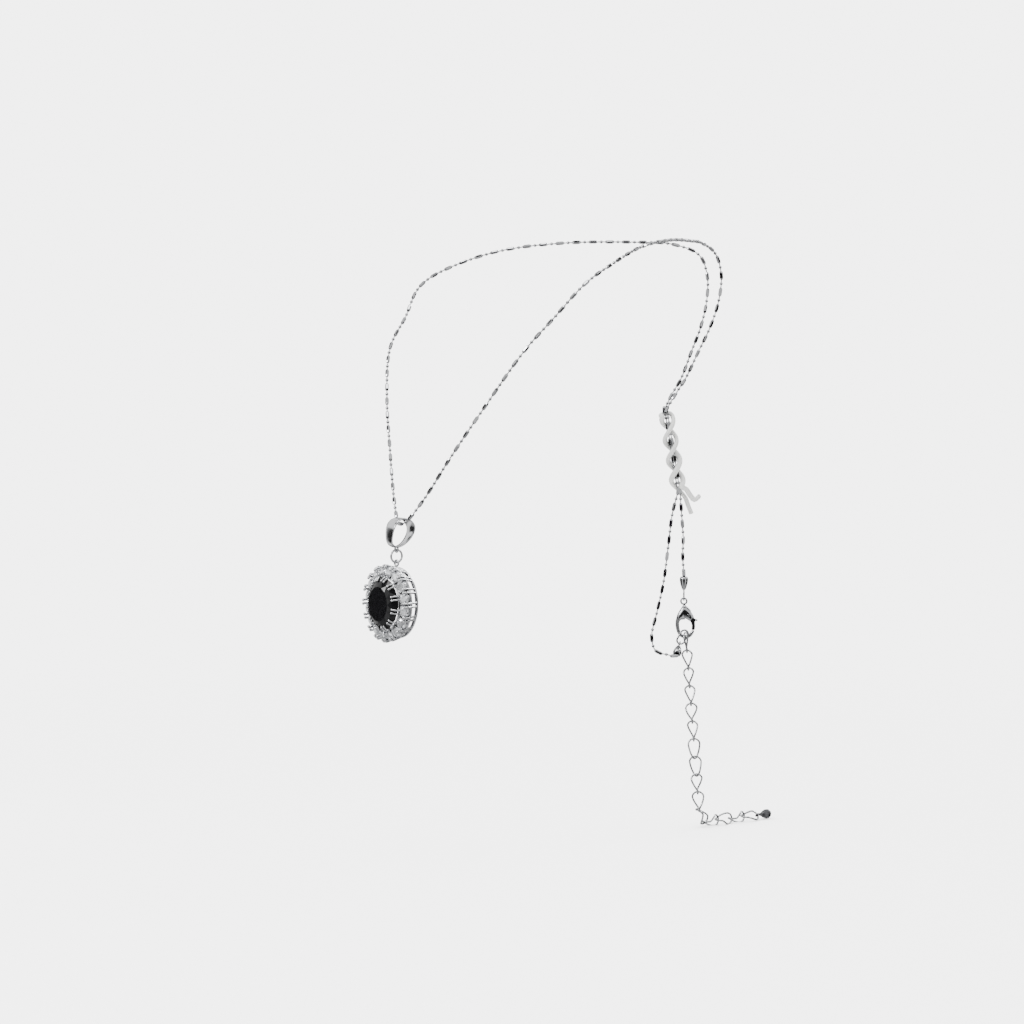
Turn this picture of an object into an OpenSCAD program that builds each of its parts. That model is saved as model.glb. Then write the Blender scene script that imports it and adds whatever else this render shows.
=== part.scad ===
// Pendant necklace: an oval cluster pendant on a bar-and-ball chain, fastened behind
// by a lobster clasp and an extender chain. Millimetres, +Z up, the wearer faces -Y.
// The origin is the nape: the middle of the two strands where the chain bears on
// the back of the neck. The necklace is drawn as it hangs when it is worn.

/* [Centre stone] */
// Width of the oval centre stone
stone_w = 10; // [9:0.1:10.4]
// Height of the oval centre stone
stone_h = 12; // [11:0.1:12.4]
// Height of the crown, from girdle to table
stone_crown = 1.7; // [1.2:0.1:2]
// Depth of the pavilion, from girdle to culet
stone_pavilion = 3.2; // [2.4:0.1:3.6]

/* [Cluster] */
// Diameter of each halo stone
halo_d = 2.25; // [2:0.05:2.3]
// Number of halo stones
halo_count = 16; // [14:1:16]
// Number of pairs of claws that hold the centre stone
claw_pairs = 12; // [8:1:12]
// Thickness of a claw or gallery wire
claw_d = 0.36; // [0.3:0.02:0.38]
// Depth of the head behind the centre stone's girdle
head_depth = 4.4; // [4.2:0.1:4.8]
// Angle by which the pendant has turned on its ring
pendant_turn = 8; // [0:1:10]

/* [Bail] */
// Width of the bail's band at the top
bail_w = 3.2; // [2.4:0.1:3.4]
// Width of the bail's band at the bottom
bail_foot_w = 1.7; // [1.4:0.1:2]
// Thickness of the bail's band
bail_t = 0.35; // [0.25:0.05:0.4]
// Outer diameter of the jump ring between bail and pendant
ring_od = 3.4; // [3.2:0.1:3.6]

/* [Chain] */
// Diameter of the bead chain, over its bars
chain_d = 0.8; // [0.6:0.05:0.84]
// Length of one extender link, outside
link_len = 5.25; // [5.1:0.05:5.3]
// Width of one extender link, outside
link_w = 3.3; // [3.1:0.05:3.4]
// Wire of the extender links
link_wire = 0.45; // [0.4:0.01:0.47]
// Links of the extender that hang straight down
hang_links = 10; // [9:1:10]

/* [Clasp] */
// Thickness of the clasp's body at its widest
clasp_t = 1.8; // [1.6:0.1:2]
// Diameter of the trigger's pin
pin_d = 0.5; // [0.4:0.02:0.54]

/* [Hidden] */
$fn = 32;
EPS = 0.01;

// The clasp's own frame: its origin is the middle of the hook's lowest wire, its X
// runs across the hook and its Y along the trigger's pin.
clasp_at = [0, -4.9, -93.1];
clasp_yaw = 56;

// Middle of the chain where the bail hangs on it
bail_at = [0, -86, -62.9];

// ---- lists and curves ----

function reversed(v) = [for (i = [len(v) - 1 : -1 : 0]) v[i]];

function unit(v) = v / norm(v);

function mirrored(v) = [for (p = v) [-p.x, p.y, p.z]];

// Point at t between b and c on a smooth curve through a, b, c and d
function smooth_point(a, b, c, d, t) =
    0.5 * (2 * b + (c - a) * t + (2 * a - 5 * b + 4 * c - d) * t * t
    + (3 * b - a - 3 * c + d) * t * t * t);

// A smooth closed outline through points in the plane
function smooth_loop(p, steps) = let (n = len(p))
    [for (i = [0 : n - 1], k = [0 : steps - 1])
        smooth_point(p[(i + n - 1) % n], p[i], p[(i + 1) % n], p[(i + 2) % n], k / steps)];

function tangent(p, i) = unit(p[min(i + 1, len(p) - 1)] - p[max(i - 1, 0)]);

// The part of a that is square to unit vector t
function square_to(a, t) = unit(a - (a * t) * t);

// Ellipse point at angle a, in the plane of the pendant's face
function oval(rx, rz, a) = [rx * sin(a), rz * cos(a)];
function oval_ring(rx, rz, count) = [for (i = [0 : count - 1]) oval(rx, rz, 360 * i / count)];

// A round tube along the points: one closed solid
module tube(p, d, sides) {
    n = len(p);
    sides_to = [for (i = 0, v = square_to([0.3, 0.2, 0.9], tangent(p, 0)); i < n;
        v = i + 1 < n ? square_to(v, tangent(p, i + 1)) : v, i = i + 1) v];
    rings = [for (i = [0 : n - 1], k = [0 : sides - 1])
        let (t = tangent(p, i), u = sides_to[i], w = cross(t, u), a = 360 * k / sides)
        p[i] + d / 2 * (cos(a) * u + sin(a) * w)];
    walls = [for (i = [0 : n - 2], k = [0 : sides - 1])
        let (a = i * sides + k, b = i * sides + (k + 1) % sides)
        [a, a + sides, b + sides, b]];
    ends = [[for (k = [0 : sides - 1]) k],
        [for (k = [sides - 1 : -1 : 0]) (n - 1) * sides + k]];
    polyhedron(rings, concat(walls, ends), convexity = 10);
}

// A straight round bar between two points
module bar(a, b, d) {
    v = b - a;
    translate(a)
        rotate([0, acos(v.z / norm(v)), atan2(v.y, v.x)])
            cylinder(d = d, h = norm(v));
}

// A round ring of wire in the XZ plane, from its mean radius
module wire_ring(r, wire) {
    rotate([90, 0, 0])
        rotate_extrude()
            translate([r, 0])
                circle(d = wire);
}

// An oval link of wire in the XZ plane, long along Z
module wire_link(length, width, wire) {
    r = (width - wire) / 2;
    straight = length - width;
    for (end = [0, 1])
        rotate([0, 180 * end, 0])
            translate([0, 0, straight / 2])
                rotate([90, 0, 0])
                    rotate_extrude(angle = 180)
                        translate([r, 0])
                            circle(d = wire);
    if (straight > 0)
        for (side = [-1, 1])
            translate([side * r, 0, -straight / 2])
                cylinder(d = wire, h = straight);
}

// ---- bead tips ----

tip_loop_r = 0.62;
tip_wire = 0.36;
tip_len = 3.2;
tip_wall = 0.16;
tip_slit = 0.12;
// Length of the straight neck in the right tip's hook; the left one has none
tip_neck = 1.15;
// Shell's start, from the loop's middle
shell_from = tip_loop_r + tip_wire / 2 - 0.1;
// How far the chain reaches into a shell
chain_in_tip = 1.05;
crimp_d = 0.9;
fit_gap = 0.04;

// A clamshell tip: its loop's middle is at the origin, the shell is above it and the
// chain leaves through the mouth along +Z
module bead_tip(neck) {
    outer = [[0, 0], [0.3, 0], [0.5, 0.35], [0.8, 1.2], [1, 2.1], [1.04, 2.6],
        [0.92, 3.05], [0.75, tip_len], [0, tip_len]];
    inner = [[0, 0.3], [0.2, 0.3], [0.36, 0.45], [0.64, 1.25], [0.84, 2.1],
        [0.88, 2.6], [0.78, 2.95], [0.58, 3.1], [0.58, tip_len + 1], [0, tip_len + 1]];
    translate([0, 0, shell_from + neck])
        difference() {
            rotate_extrude()
                polygon(outer);
            rotate_extrude()
                polygon(inner);
            // the fold where the two half shells meet
            translate([-tip_slit / 2, -2, 0.9])
                cube([tip_slit, 4, tip_len]);
        }
    translate([0, 0, neck / 2])
        rotate([0, 0, 90])
            if (neck > 0)
                wire_link(neck + 2 * tip_loop_r + tip_wire, 2 * tip_loop_r + tip_wire, tip_wire);
            else
                wire_ring(tip_loop_r, tip_wire);
}

// The end link's upper arc is centred here in the clasp's frame, and it leans to the
// left by end_lean
end_link_at = [-0.3, -0.82, 0.76];
end_lean = 30;
end_link_r = 0.9;
end_link_straight = 1.8;
end_foot = end_link_at - end_link_straight * [sin(end_lean), 0, cos(end_lean)];

// The left tip hangs on the end link's foot: its swing in the link's plane and its
// lean out of it
tip_swing = 20;
tip_out = 55;
function left_tip_dir() =
    [-sin(tip_swing) * cos(tip_out), -sin(tip_out), -cos(tip_swing) * cos(tip_out)];
tip_left_at = end_foot + end_link_r * [-sin(tip_swing), 0, -cos(tip_swing)]
    + (tip_loop_r - tip_wire / 2 - link_wire / 2 - fit_gap) * left_tip_dir();

eye_at = [-0.43, 0, 8.6];
eye_r = 0.7;
eye_wire = 0.45;
tip_right_at = eye_at + [0, 0, eye_r - eye_wire / 2 - tip_wire / 2 - fit_gap + tip_loop_r];

function from_clasp(p) = clasp_at + [cos(clasp_yaw) * p.x - sin(clasp_yaw) * p.y,
    sin(clasp_yaw) * p.x + cos(clasp_yaw) * p.y, p.z];

// Points on a tip's axis, in the necklace's frame
function from_left_tip(p) = from_clasp(tip_left_at + (p.z + shell_from - 0.4) * left_tip_dir());
function from_right_tip(p) = from_clasp(tip_right_at + [0, 0, p.z + shell_from - 0.4]);

module in_clasp_frame() {
    translate(clasp_at)
        rotate([0, 0, clasp_yaw])
            children();
}

module place_tip_left() {
    in_clasp_frame()
        translate(tip_left_at)
            rotate([0, 180 + tip_swing, 0])
                rotate([tip_out, 0, 0])
                    children();
}

module place_tip_right() {
    in_clasp_frame()
        translate(tip_right_at)
            children();
}

module bead_tip_left() {
    color("silver")
        place_tip_left()
            bead_tip(0);
}

module bead_tip_right() {
    color("silver")
        place_tip_right()
            bead_tip(tip_neck);
}

// The crimped beads that keep the chain's two ends in their tips
module crimp_beads() {
    crimp_z = shell_from + tip_len - chain_in_tip - crimp_d / 2 - 0.02;
    color("gray") {
        place_tip_left()
            translate([0, 0, crimp_z])
                sphere(d = crimp_d);
        place_tip_right()
            translate([0, 0, crimp_z + tip_neck])
                sphere(d = crimp_d);
    }
}

// ---- chain and tie ----

// Route of the bead chain, from the crimp at the extender, up through the tie, over
// the nape, round the neck's far side to the bail, and back the same way to the clasp.
far_tail = [from_left_tip([0, 0, tip_len + 0.4 - chain_in_tip]),
    from_left_tip([0, 0, tip_len + 0.75]), [2.04, -10.35, -97.25], [1.27, -11.4, -96.95],
    [0.07, -12.65, -96.6], [-0.85, -13.5, -95.75], [-1.3, -13.85, -94.2],
    [-1.4, -13.9, -91.6], [-1.3, -12.4, -86.5], [-1.2, -10.6, -79.5],
    [-1.1, -9.4, -71.5], [-0.9, -8.4, -63.8]];
tied = [[-0.45, -7.0, -58.1], [-0.45, -7.16, -57.3], [-0.45, -7.8, -54.1],
    [-0.45, -10.2, -42.1], [-0.45, -10.84, -38.9], [-0.45, -11, -38.1],
    [-0.7, -8.4, -34.2]];
near_side = [[0.9, -5.6, -30.5], [1.4, -2.3, -24.3], [1.9, 0.9, -18.3], [2.4, 3.0, -12],
    [2.8, 3.4, -6], [3.4, 1.2, -1], [6, -4.6, 1.4], [10, -10.9, 1.9], [20, -25.1, 1.8],
    [28, -38.9, 0], [33, -50.6, -4], [34, -59, -8.7], [31, -65, -16],
    [28, -71.4, -23.8], [21, -76.5, -35.4], [13.3, -80.5, -46.7], [7.5, -83.3, -55.6],
    [3.6, -85.0, -60.6], [1.6, -85.8, -62.5]];
near_tail = [[0.5, -6.6, -63], [0.4, -6.0, -69], [0.1, -5.9, -73.5],
    from_right_tip([0, 0, tip_len + 0.75 + tip_neck]),
    from_right_tip([0, 0, tip_len + 0.4 + tip_neck - chain_in_tip])];
route = concat(far_tail, tied, mirrored(near_side), [bail_at], reversed(near_side),
    reversed(mirrored(tied)), near_tail);

// The tie's twist: from the top of the bundle to its foot
tie_top = [0, -10.68, -39.7];
tie_foot = [0, -7.28, -56.7];
tie_turns = 1.75;
tie_d = 0.8;
tie_r = 1.4;
tie_tails = [[[-1.1, -5.8, -58.0], [-0.5, -4.7, -59.6], [-0.6, -3.9, -61.2], [-0.5, -2.9, -63.4]],
    [[1.4, -5.9, -57.4], [1.2, -4.6, -58.8], [1.2, -3.2, -60.0], [0.9, -1.6, -59.2]]];

module bead_chain() {
    color("silver")
        tube(route, chain_d, 8);
}

tie_axis = unit(tie_foot - tie_top);
tie_u = square_to([1, 0, 0], tie_axis);
tie_v = cross(tie_axis, tie_u);
function tie_point(phase, s) =
    tie_top + s * (tie_foot - tie_top)
    + tie_r * (cos(phase) * tie_u + sin(phase) * tie_v);

// One wire folded over the two strands and twisted down round them
module twist_tie() {
    steps = 24;
    down = [for (i = [0 : steps]) tie_point(90 + 360 * tie_turns * i / steps, i / steps)];
    up = [for (i = [0 : steps]) tie_point(270 + 360 * tie_turns * i / steps, i / steps)];
    over = [for (a = [120, 150, 180, 210, 240]) tie_point(a, -0.02)];
    color("white")
        tube(concat(reversed(tie_tails[0]), reversed(up), reversed(over), down, tie_tails[1]),
            tie_d, 8);
}

// ---- bail and jump ring ----

eyelet_r = 0.62;
eyelet_wire = 0.45;
// Middle of the bail's eyelet, from the chain's middle at the bail
eyelet_at = [0, -1.1, -5.75];

// Centre line of the bail's band, seen from the side: y and z from the chain
bail_line = [[-1.1, -5.2], [-2.3, -4.85], [-2.95, -4.0], [-3.0, -2.4], [-2.6, -0.6],
    [-1.6, 0.75], [0, 1.22], [1.6, 0.85], [2.65, -0.4], [2.7, -1.8], [1.9, -3.3], [0.5, -4.6]];

// The line moved outwards by t
function moved_out(p, t) = let (n = len(p))
    [for (i = [0 : n - 1]) let (d = unit(p[(i + 1) % n] - p[(i + n - 1) % n]))
        p[i] + t * [-d.y, d.x]];

module bail() {
    loop = smooth_loop(bail_line, 3);
    color("silver")
        translate(bail_at) {
            intersection() {
                // the band, from the side
                rotate([90, 0, 90])
                    linear_extrude(height = bail_w, center = true)
                        difference() {
                            polygon(moved_out(loop, bail_t / 2));
                            polygon(moved_out(loop, -bail_t / 2));
                        }
                // its leaf shape, from the front
                rotate([90, 0, 0])
                    linear_extrude(height = 10, center = true)
                        polygon([[-bail_foot_w / 2, -6], [bail_foot_w / 2, -6],
                            [bail_w / 2 - 0.15, -1.6], [bail_w / 2, 0],
                            [bail_w / 2 - 0.2, 2], [0.2 - bail_w / 2, 2],
                            [-bail_w / 2, 0], [0.15 - bail_w / 2, -1.6]]);
            }
            translate(eyelet_at)
                wire_ring(eyelet_r, eyelet_wire);
        }
}

ring_wire = 0.5;
ring_r = (ring_od - ring_wire) / 2;
ring_top = bail_at + eyelet_at
    + [0, 0, eyelet_wire / 2 + ring_wire / 2 + fit_gap - eyelet_r];
ring_at = ring_top - [0, 0, ring_r];

module jump_ring() {
    color("silver")
        translate(ring_at)
            rotate([0, 0, 90])
                wire_ring(ring_r, ring_wire);
}

// ---- pendant ----

loop_r = 0.65;
loop_wire = 0.45;
// Middle of the pendant's loop
loop_at = ring_at + [0, 0, ring_wire / 2 + loop_wire / 2 + fit_gap - ring_r - loop_r];
// The girdle's middle, from the loop: forward and down
head_forward = 3.9;
head_down = 9.05;

// The pendant's own frame: the middle of the centre stone's girdle, face towards -Y
module in_pendant_frame() {
    translate(loop_at)
        rotate([0, 0, pendant_turn])
            translate([0, -head_forward, -head_down])
                children();
}

halo_rx = stone_w / 2 + 1.48;
halo_rz = stone_h / 2 + 1.48;
halo_y = 0.8;
halo_tilt = 20;
post_rx = halo_rx + 1.2;
post_rz = halo_rz + 1.2;
seat_y = 1.85;
seat_t = 0.4;
base_t = 0.4;
base_in = 1.4;

// An elliptical ring lying in the face's plane, from y up to y + t
module oval_band(rx_out, rz_out, rx_in, rz_in, y, t) {
    translate([0, y + t, 0])
        rotate([90, 0, 0])
            linear_extrude(height = t)
                difference() {
                    polygon(oval_ring(rx_out, rz_out, 48));
                    polygon(oval_ring(rx_in, rz_in, 48));
                }
}

// The face's outward direction at angle a on an ellipse
function oval_out(rx, rz, a) = unit([sin(a) / rx, cos(a) / rz]);

module halo_gallery() {
    color("silver")
        in_pendant_frame() {
            // seat under the halo stones, with a hole for each pavilion
            difference() {
                oval_band(post_rx - 0.1, post_rz - 0.1, stone_w / 2 + 0.62,
                    stone_h / 2 + 0.62, seat_y, seat_t);
                for (i = [0 : halo_count - 1])
                    let (p = oval(halo_rx, halo_rz, 360 * (i + 0.5) / halo_count))
                        translate([p.x, seat_y + 1, p.y])
                            rotate([90, 0, 0])
                                cylinder(d = 1.3, h = 2);
            }
            // base ring at the back
            oval_band(post_rx - 0.55, post_rz - 0.55, post_rx - base_in,
                post_rz - base_in, head_depth - base_t, base_t);
            // a pair of gallery wires between neighbouring stones, ending in beads
            for (i = [0 : halo_count - 1], side = [-1, 1])
                let (a = 360 * i / halo_count,
                    out = oval_out(halo_rx, halo_rz, a),
                    along = side * 0.42 * [out.y, -out.x],
                    top = oval(post_rx, post_rz, a) + along,
                    foot = oval(post_rx - 0.9, post_rz - 0.9, a) + along,
                    tip = top - 0.4 * out) {
                    bar([foot.x, head_depth - 0.1, foot.y], [top.x, 0.55, top.y], claw_d);
                    bar([top.x, 0.6, top.y], [tip.x, 0.15, tip.y], claw_d - 0.04);
                    translate([tip.x, 0.12, tip.y])
                        sphere(d = claw_d + 0.14);
                }
            // the loop that the jump ring holds, and its foot on the base ring
            translate([0, head_forward, head_down])
                wire_ring(loop_r, loop_wire);
            translate([0, head_forward, post_rz - 0.8])
                cylinder(d = 0.6, h = head_down - loop_r - post_rz + 0.8);
        }
}

module centre_head() {
    rx = stone_w / 2;
    rz = stone_h / 2;
    color("silver")
        in_pendant_frame() {
            oval_band(rx + 0.58, rz + 0.58, rx - 0.3, rz - 0.3, 2.3, 0.5);
            for (i = [0 : claw_pairs - 1], side = [-1, 1])
                let (a = 360 * (i + 0.5) / claw_pairs,
                    out = oval_out(rx, rz, a),
                    along = side * 0.4 * [out.y, -out.x],
                    post = oval(rx, rz, a) + along + (claw_d / 2 + 0.03) * out,
                    tip = oval(rx, rz, a) + along - 0.6 * out) {
                    bar([post.x, 2.6, post.y], [post.x, -0.45, post.y], claw_d - 0.04);
                    translate([post.x, -0.45, post.y])
                        sphere(d = claw_d);
                    bar([post.x, -0.45, post.y], [tip.x, -1.15, tip.y], claw_d - 0.06);
                    translate([tip.x, -1.17, tip.y])
                        sphere(d = claw_d + 0.12);
                }
        }
}

// A flat outline of the centre stone, scaled by k, at height y
module stone_layer(k, y) {
    translate([0, y + EPS, 0])
        rotate([90, 0, 0])
            linear_extrude(height = EPS)
                polygon(oval_ring(k * stone_w / 2, k * stone_h / 2, 24));
}

module centre_stone() {
    color([0.05, 0.05, 0.06])
        in_pendant_frame()
            hull() {
                stone_layer(0.6, -stone_crown);
                stone_layer(1, -0.15);
                stone_layer(1, 0.1);
                stone_layer(0.62, 0.55 * stone_pavilion);
                stone_layer(0.06, stone_pavilion);
            }
}

// A round brilliant with its table towards -Y and its girdle at the origin
module brilliant(d) {
    rotate([90, 0, 0]) {
        cylinder(d1 = d, d2 = 0.56 * d, h = 0.17 * d);
        translate([0, 0, -0.03 * d])
            cylinder(d = d, h = 0.03 * d);
        translate([0, 0, -0.43 * d])
            cylinder(d1 = 0.04 * d, d2 = d, h = 0.4 * d);
    }
}

module halo_stones() {
    color([0.92, 0.94, 0.97])
        in_pendant_frame()
            for (i = [0 : halo_count - 1])
                let (a = 360 * (i + 0.5) / halo_count,
                    p = oval(halo_rx, halo_rz, a),
                    out = oval_out(halo_rx, halo_rz, a),
                    turn = atan2(out.x, out.y))
                    translate([p.x, halo_y, p.y])
                        rotate([0, turn, 0])
                            rotate([-halo_tilt, 0, 0])
                                brilliant(halo_d);
}

// ---- clasp ----

clasp_outer = [[-0.45, 7.85], [-1.1, 6.9], [-1.95, 5.5], [-2.4, 3.9], [-2.42, 2.4],
    [-2.0, 0.9], [-1.2, -0.1], [0, -0.45], [1.25, -0.1], [2.05, 1.0], [2.3, 2.4],
    [2.3, 3.7], [2.05, 4.9], [1.3, 6.3], [0.2, 7.4]];
clasp_inner = [[-1.6, 3.2], [-1.35, 1.6], [-0.75, 0.65], [0, 0.45], [0.75, 0.65],
    [1.35, 1.5], [1.45, 2.7], [0.9, 3.7], [-0.2, 4.15], [-1.2, 4.05]];
pin_at = [0.7, 5.15];
slot_half = 0.44;
trigger_half = 0.36;
// Outline of the trigger: hub, gate arm down to the hook's tip, and thumb tab
trigger_line = [[0.2, 5.55], [1.0, 5.85], [1.75, 5.35], [2.15, 4.45], [2.85, 4.15],
    [2.8, 3.8], [2.3, 3.75], [2.3, 2.6], [2.2, 1.72], [1.5, 1.72], [1.5, 2.8],
    [1.0, 3.9], [0.3, 4.6]];

// A flat outline in the clasp's plane, thick each way from its middle
module clasp_plate(points, half) {
    rotate([90, 0, 0])
        linear_extrude(height = 2 * half, center = true)
            polygon(points);
}

module clasp_body() {
    t = clasp_t / 2;
    color("silver")
        in_clasp_frame() {
            difference() {
                intersection() {
                    clasp_plate(smooth_loop(clasp_outer, 3), 2);
                    // thin at the hook, thick where the trigger turns
                    rotate([90, 0, 90])
                        linear_extrude(height = 8, center = true)
                            polygon([[-0.45, -1], [0.45, -1], [0.45, 2.2], [0.62, 3],
                                [t, 4.3], [t, 6], [0.5, 8], [-0.5, 8], [-t, 6],
                                [-t, 4.3], [-0.62, 3], [-0.45, 2.2]]);
                }
                clasp_plate(smooth_loop(clasp_inner, 3), 3);
                // slot for the trigger's hub
                clasp_plate([[-0.15, 3], [-0.15, 5.6], [0.5, 6.05], [1.5, 6.2], [4, 5.4],
                    [4, 3]], slot_half);
                // room for the gate between the cheeks and the hook's tip
                clasp_plate([[1.1, 1.5], [4, 1.5], [4, 4.5], [1.55, 4.5], [0.6, 3.2]], 3);
                translate([pin_at.x, 0, pin_at.y])
                    rotate([90, 0, 0])
                        cylinder(d = pin_d, h = 4, center = true);
            }
            translate(eye_at)
                wire_ring(eye_r, eye_wire);
        }
}

module clasp_trigger() {
    color("silver")
        in_clasp_frame()
            difference() {
                clasp_plate(trigger_line, trigger_half);
                translate([pin_at.x, 0, pin_at.y])
                    rotate([90, 0, 0])
                        cylinder(d = pin_d + 0.06, h = 4, center = true);
                // recess for the spring beside the hub
                translate([pin_at.x, trigger_half, pin_at.y])
                    rotate([90, 0, 0])
                        cylinder(d = 1.2, h = 0.36);
            }
}

module trigger_pin() {
    color("silver")
        in_clasp_frame()
            translate([pin_at.x, 0, pin_at.y])
                rotate([90, 0, 0])
                    cylinder(d = pin_d, h = clasp_t - 0.1, center = true);
}

spring_wire = 0.11;
// Turns of fine wire round the pin
module trigger_spring() {
    r = pin_d / 2 + 0.14;
    turns = 2;
    steps = 24;
    color("gray")
        in_clasp_frame()
            translate([pin_at.x, 0.08, pin_at.y])
                tube([for (i = [0 : steps]) let (a = 360 * turns * i / steps)
                    [r * cos(a), 0.26 * i / steps, r * sin(a)]], spring_wire, 6);
}

// ---- extender ----

hang_tilt = 4.5;
pitch = link_len - 2 * link_wire - fit_gap;
reach = link_len - link_wire;
// Wire centre at the top of the first link, which lies over the hook's wire
first_top = 0.78 + link_wire / 2;

module end_link() {
    color("silver")
        in_clasp_frame()
            translate((end_link_at + end_foot) / 2)
                rotate([0, end_lean, 0])
                    wire_link(end_link_straight + 2 * end_link_r + link_wire,
                        2 * end_link_r + link_wire, link_wire);
}

// A link whose end wire starts at the point, which runs along the direction and
// whose plane holds the across vector
module link_from(start, dir, across) {
    z = -unit(dir);
    x = square_to(across, z);
    y = cross(z, x);
    mid = start - z * reach / 2;
    color("silver")
        multmatrix([[x.x, y.x, z.x, mid.x], [x.y, y.y, z.y, mid.y],
            [x.z, y.z, z.z, mid.z], [0, 0, 0, 1]])
            wire_link(link_len, link_w, link_wire);
}

// How far each hanging link has turned about the chain's line
hang_turn = [-25, -35, -45, -45, -45, -45, -45, -45, -32, -18];

// One link of the hanging part: neighbours stand about square to each other
module hanging_link(i) {
    color("silver")
        in_clasp_frame()
            translate([0, 0, first_top])
                rotate([0, -hang_tilt, 0])
                    translate([0, 0, link_wire / 2 - link_len / 2 - pitch * (i - 1)])
                        rotate([0, 0, 90 * (i % 2) + hang_turn[i - 1]])
                            wire_link(link_len, link_w, link_wire);
}

// The link that slants from the hanging part to the table: its direction
slant = [-0.25, 0.67, -0.7];
slant_yaw = clasp_yaw + hang_turn[hang_links - 1];
hang_dir = [sin(hang_tilt), 0, -cos(hang_tilt)];
hang_foot = from_clasp([0, 0, first_top] + (reach + pitch * (hang_links - 1)) * hang_dir);
slant_start = hang_foot - 0.6 * slant;

// The lying part: each link's heading from +Y; neighbours lean 45 degrees opposite ways
lying_heading = [6, 3, 7, 3];
lying_z = -138.44;
lying_gap = link_wire + 0.06;
lying_first = [0.79, 0.25, lying_z];
function lying_dir(k) = [-sin(lying_heading[k]), cos(lying_heading[k]), 0];
function lying_start(k) = k == 0 ? lying_first
    : lying_start(k - 1) + reach * lying_dir(k - 1) - lying_gap * lying_dir(k);

module extender_link(i) {
    if (i <= hang_links) {
        hanging_link(i);
    } else if (i == hang_links + 1) {
        link_from(slant_start, slant, [sin(slant_yaw), -cos(slant_yaw), 0]);
    } else {
        k = i - hang_links - 2;
        link_from(lying_start(k), lying_dir(k), [1, 0, k % 2 == 0 ? 1 : -1]);
    }
}

charm_len = 3.6;
charm_r = 1.18;
charm_loop_r = 0.5;
charm_loop_wire = 0.32;
charm_turn = 5;
charm_dir = [-sin(charm_turn), cos(charm_turn), 0];
charm_at = lying_start(3) + reach * lying_dir(3)
    + (charm_loop_r - charm_loop_wire / 2 - link_wire / 2 - 0.06) * charm_dir;

// A solid drop on a small ring that is part of it
module drop_charm() {
    color("dimgray")
        translate(charm_at)
            rotate([0, 0, charm_turn])
                rotate([-90, 0, 0])
                    rotate([0, 0, -45]) {
                        wire_ring(charm_loop_r, charm_loop_wire);
                        rotate_extrude()
                            polygon([[0, 0.5], [0.16, 0.5], [0.42, 1.1], [0.85, 1.9],
                                [1.1, 2.6], [charm_r, 3.1], [1.08, 3.6], [0.75, 3.95],
                                [0.35, charm_len + 0.5], [0, charm_len + 0.5]]);
                    }
}

bead_chain();
twist_tie();
bead_tip_left();
bead_tip_right();
crimp_beads();
bail();
jump_ring();
halo_gallery();
centre_head();
centre_stone();
halo_stones();
clasp_body();
clasp_trigger();
trigger_pin();
trigger_spring();
end_link();
extender_link(1);  // extender_link_01
extender_link(2);  // extender_link_02
extender_link(3);  // extender_link_03
extender_link(4);  // extender_link_04
extender_link(5);  // extender_link_05
extender_link(6);  // extender_link_06
extender_link(7);  // extender_link_07
extender_link(8);  // extender_link_08
extender_link(9);  // extender_link_09
extender_link(10);  // extender_link_10
extender_link(11);  // extender_link_11
extender_link(12);  // extender_link_12
extender_link(13);  // extender_link_13
extender_link(14);  // extender_link_14
extender_link(15);  // extender_link_15
drop_charm();
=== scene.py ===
"""Pendant necklace: the finished pieces, their metals and stones, and the studio they stand in."""

from math import atan2, cos, degrees, pi, radians, sin

import bmesh
import bpy
from bpy.props import FloatProperty, FloatVectorProperty, IntProperty, PointerProperty
from mathutils import Matrix, Vector


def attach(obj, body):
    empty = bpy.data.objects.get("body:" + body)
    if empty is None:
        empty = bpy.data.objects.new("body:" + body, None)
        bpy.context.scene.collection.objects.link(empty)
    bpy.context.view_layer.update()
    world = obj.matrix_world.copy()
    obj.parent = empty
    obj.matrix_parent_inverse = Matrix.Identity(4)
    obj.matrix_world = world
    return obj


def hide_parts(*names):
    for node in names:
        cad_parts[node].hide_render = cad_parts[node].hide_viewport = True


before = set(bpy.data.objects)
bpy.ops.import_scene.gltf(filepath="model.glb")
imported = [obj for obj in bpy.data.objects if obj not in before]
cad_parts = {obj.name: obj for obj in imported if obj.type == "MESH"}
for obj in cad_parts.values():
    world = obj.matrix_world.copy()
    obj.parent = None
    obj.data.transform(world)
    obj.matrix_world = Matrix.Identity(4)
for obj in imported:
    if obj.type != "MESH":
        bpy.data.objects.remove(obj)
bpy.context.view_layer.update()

bl_info = {
    "name": "Pendant necklace",
    "version": (1, 0, 0),
    "blender": (4, 5, 0),
    "location": "View3D > Sidebar > Necklace",
    "description": "Builds an oval cluster pendant on a bead chain, with its clasp and extender",
    "category": "Add Mesh",
}

MM = 0.001
TAU = 2 * pi
BLACK = (0, 0, 0, 1)


# ---- sizes and colours ----


def mm(name, description, value):
    """A length that the sidebar shows in scene units; value is in millimetres."""
    return FloatProperty(name=name, description=description, default=value * MM,
                         min=0, subtype="DISTANCE", unit="LENGTH", precision=5)


def linear(hex_colour):
    """An sRGB hex colour as linear RGBA."""
    channels = [int(hex_colour[i:i + 2], 16) / 255 for i in (1, 3, 5)]
    return (*(c / 12.92 if c <= 0.04045 else ((c + 0.055) / 1.055) ** 2.4 for c in channels), 1)


def tint(name, description, hex_colour):
    return FloatVectorProperty(name=name, description=description, subtype="COLOR", size=4,
                               min=0, max=1, default=linear(hex_colour))


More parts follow.
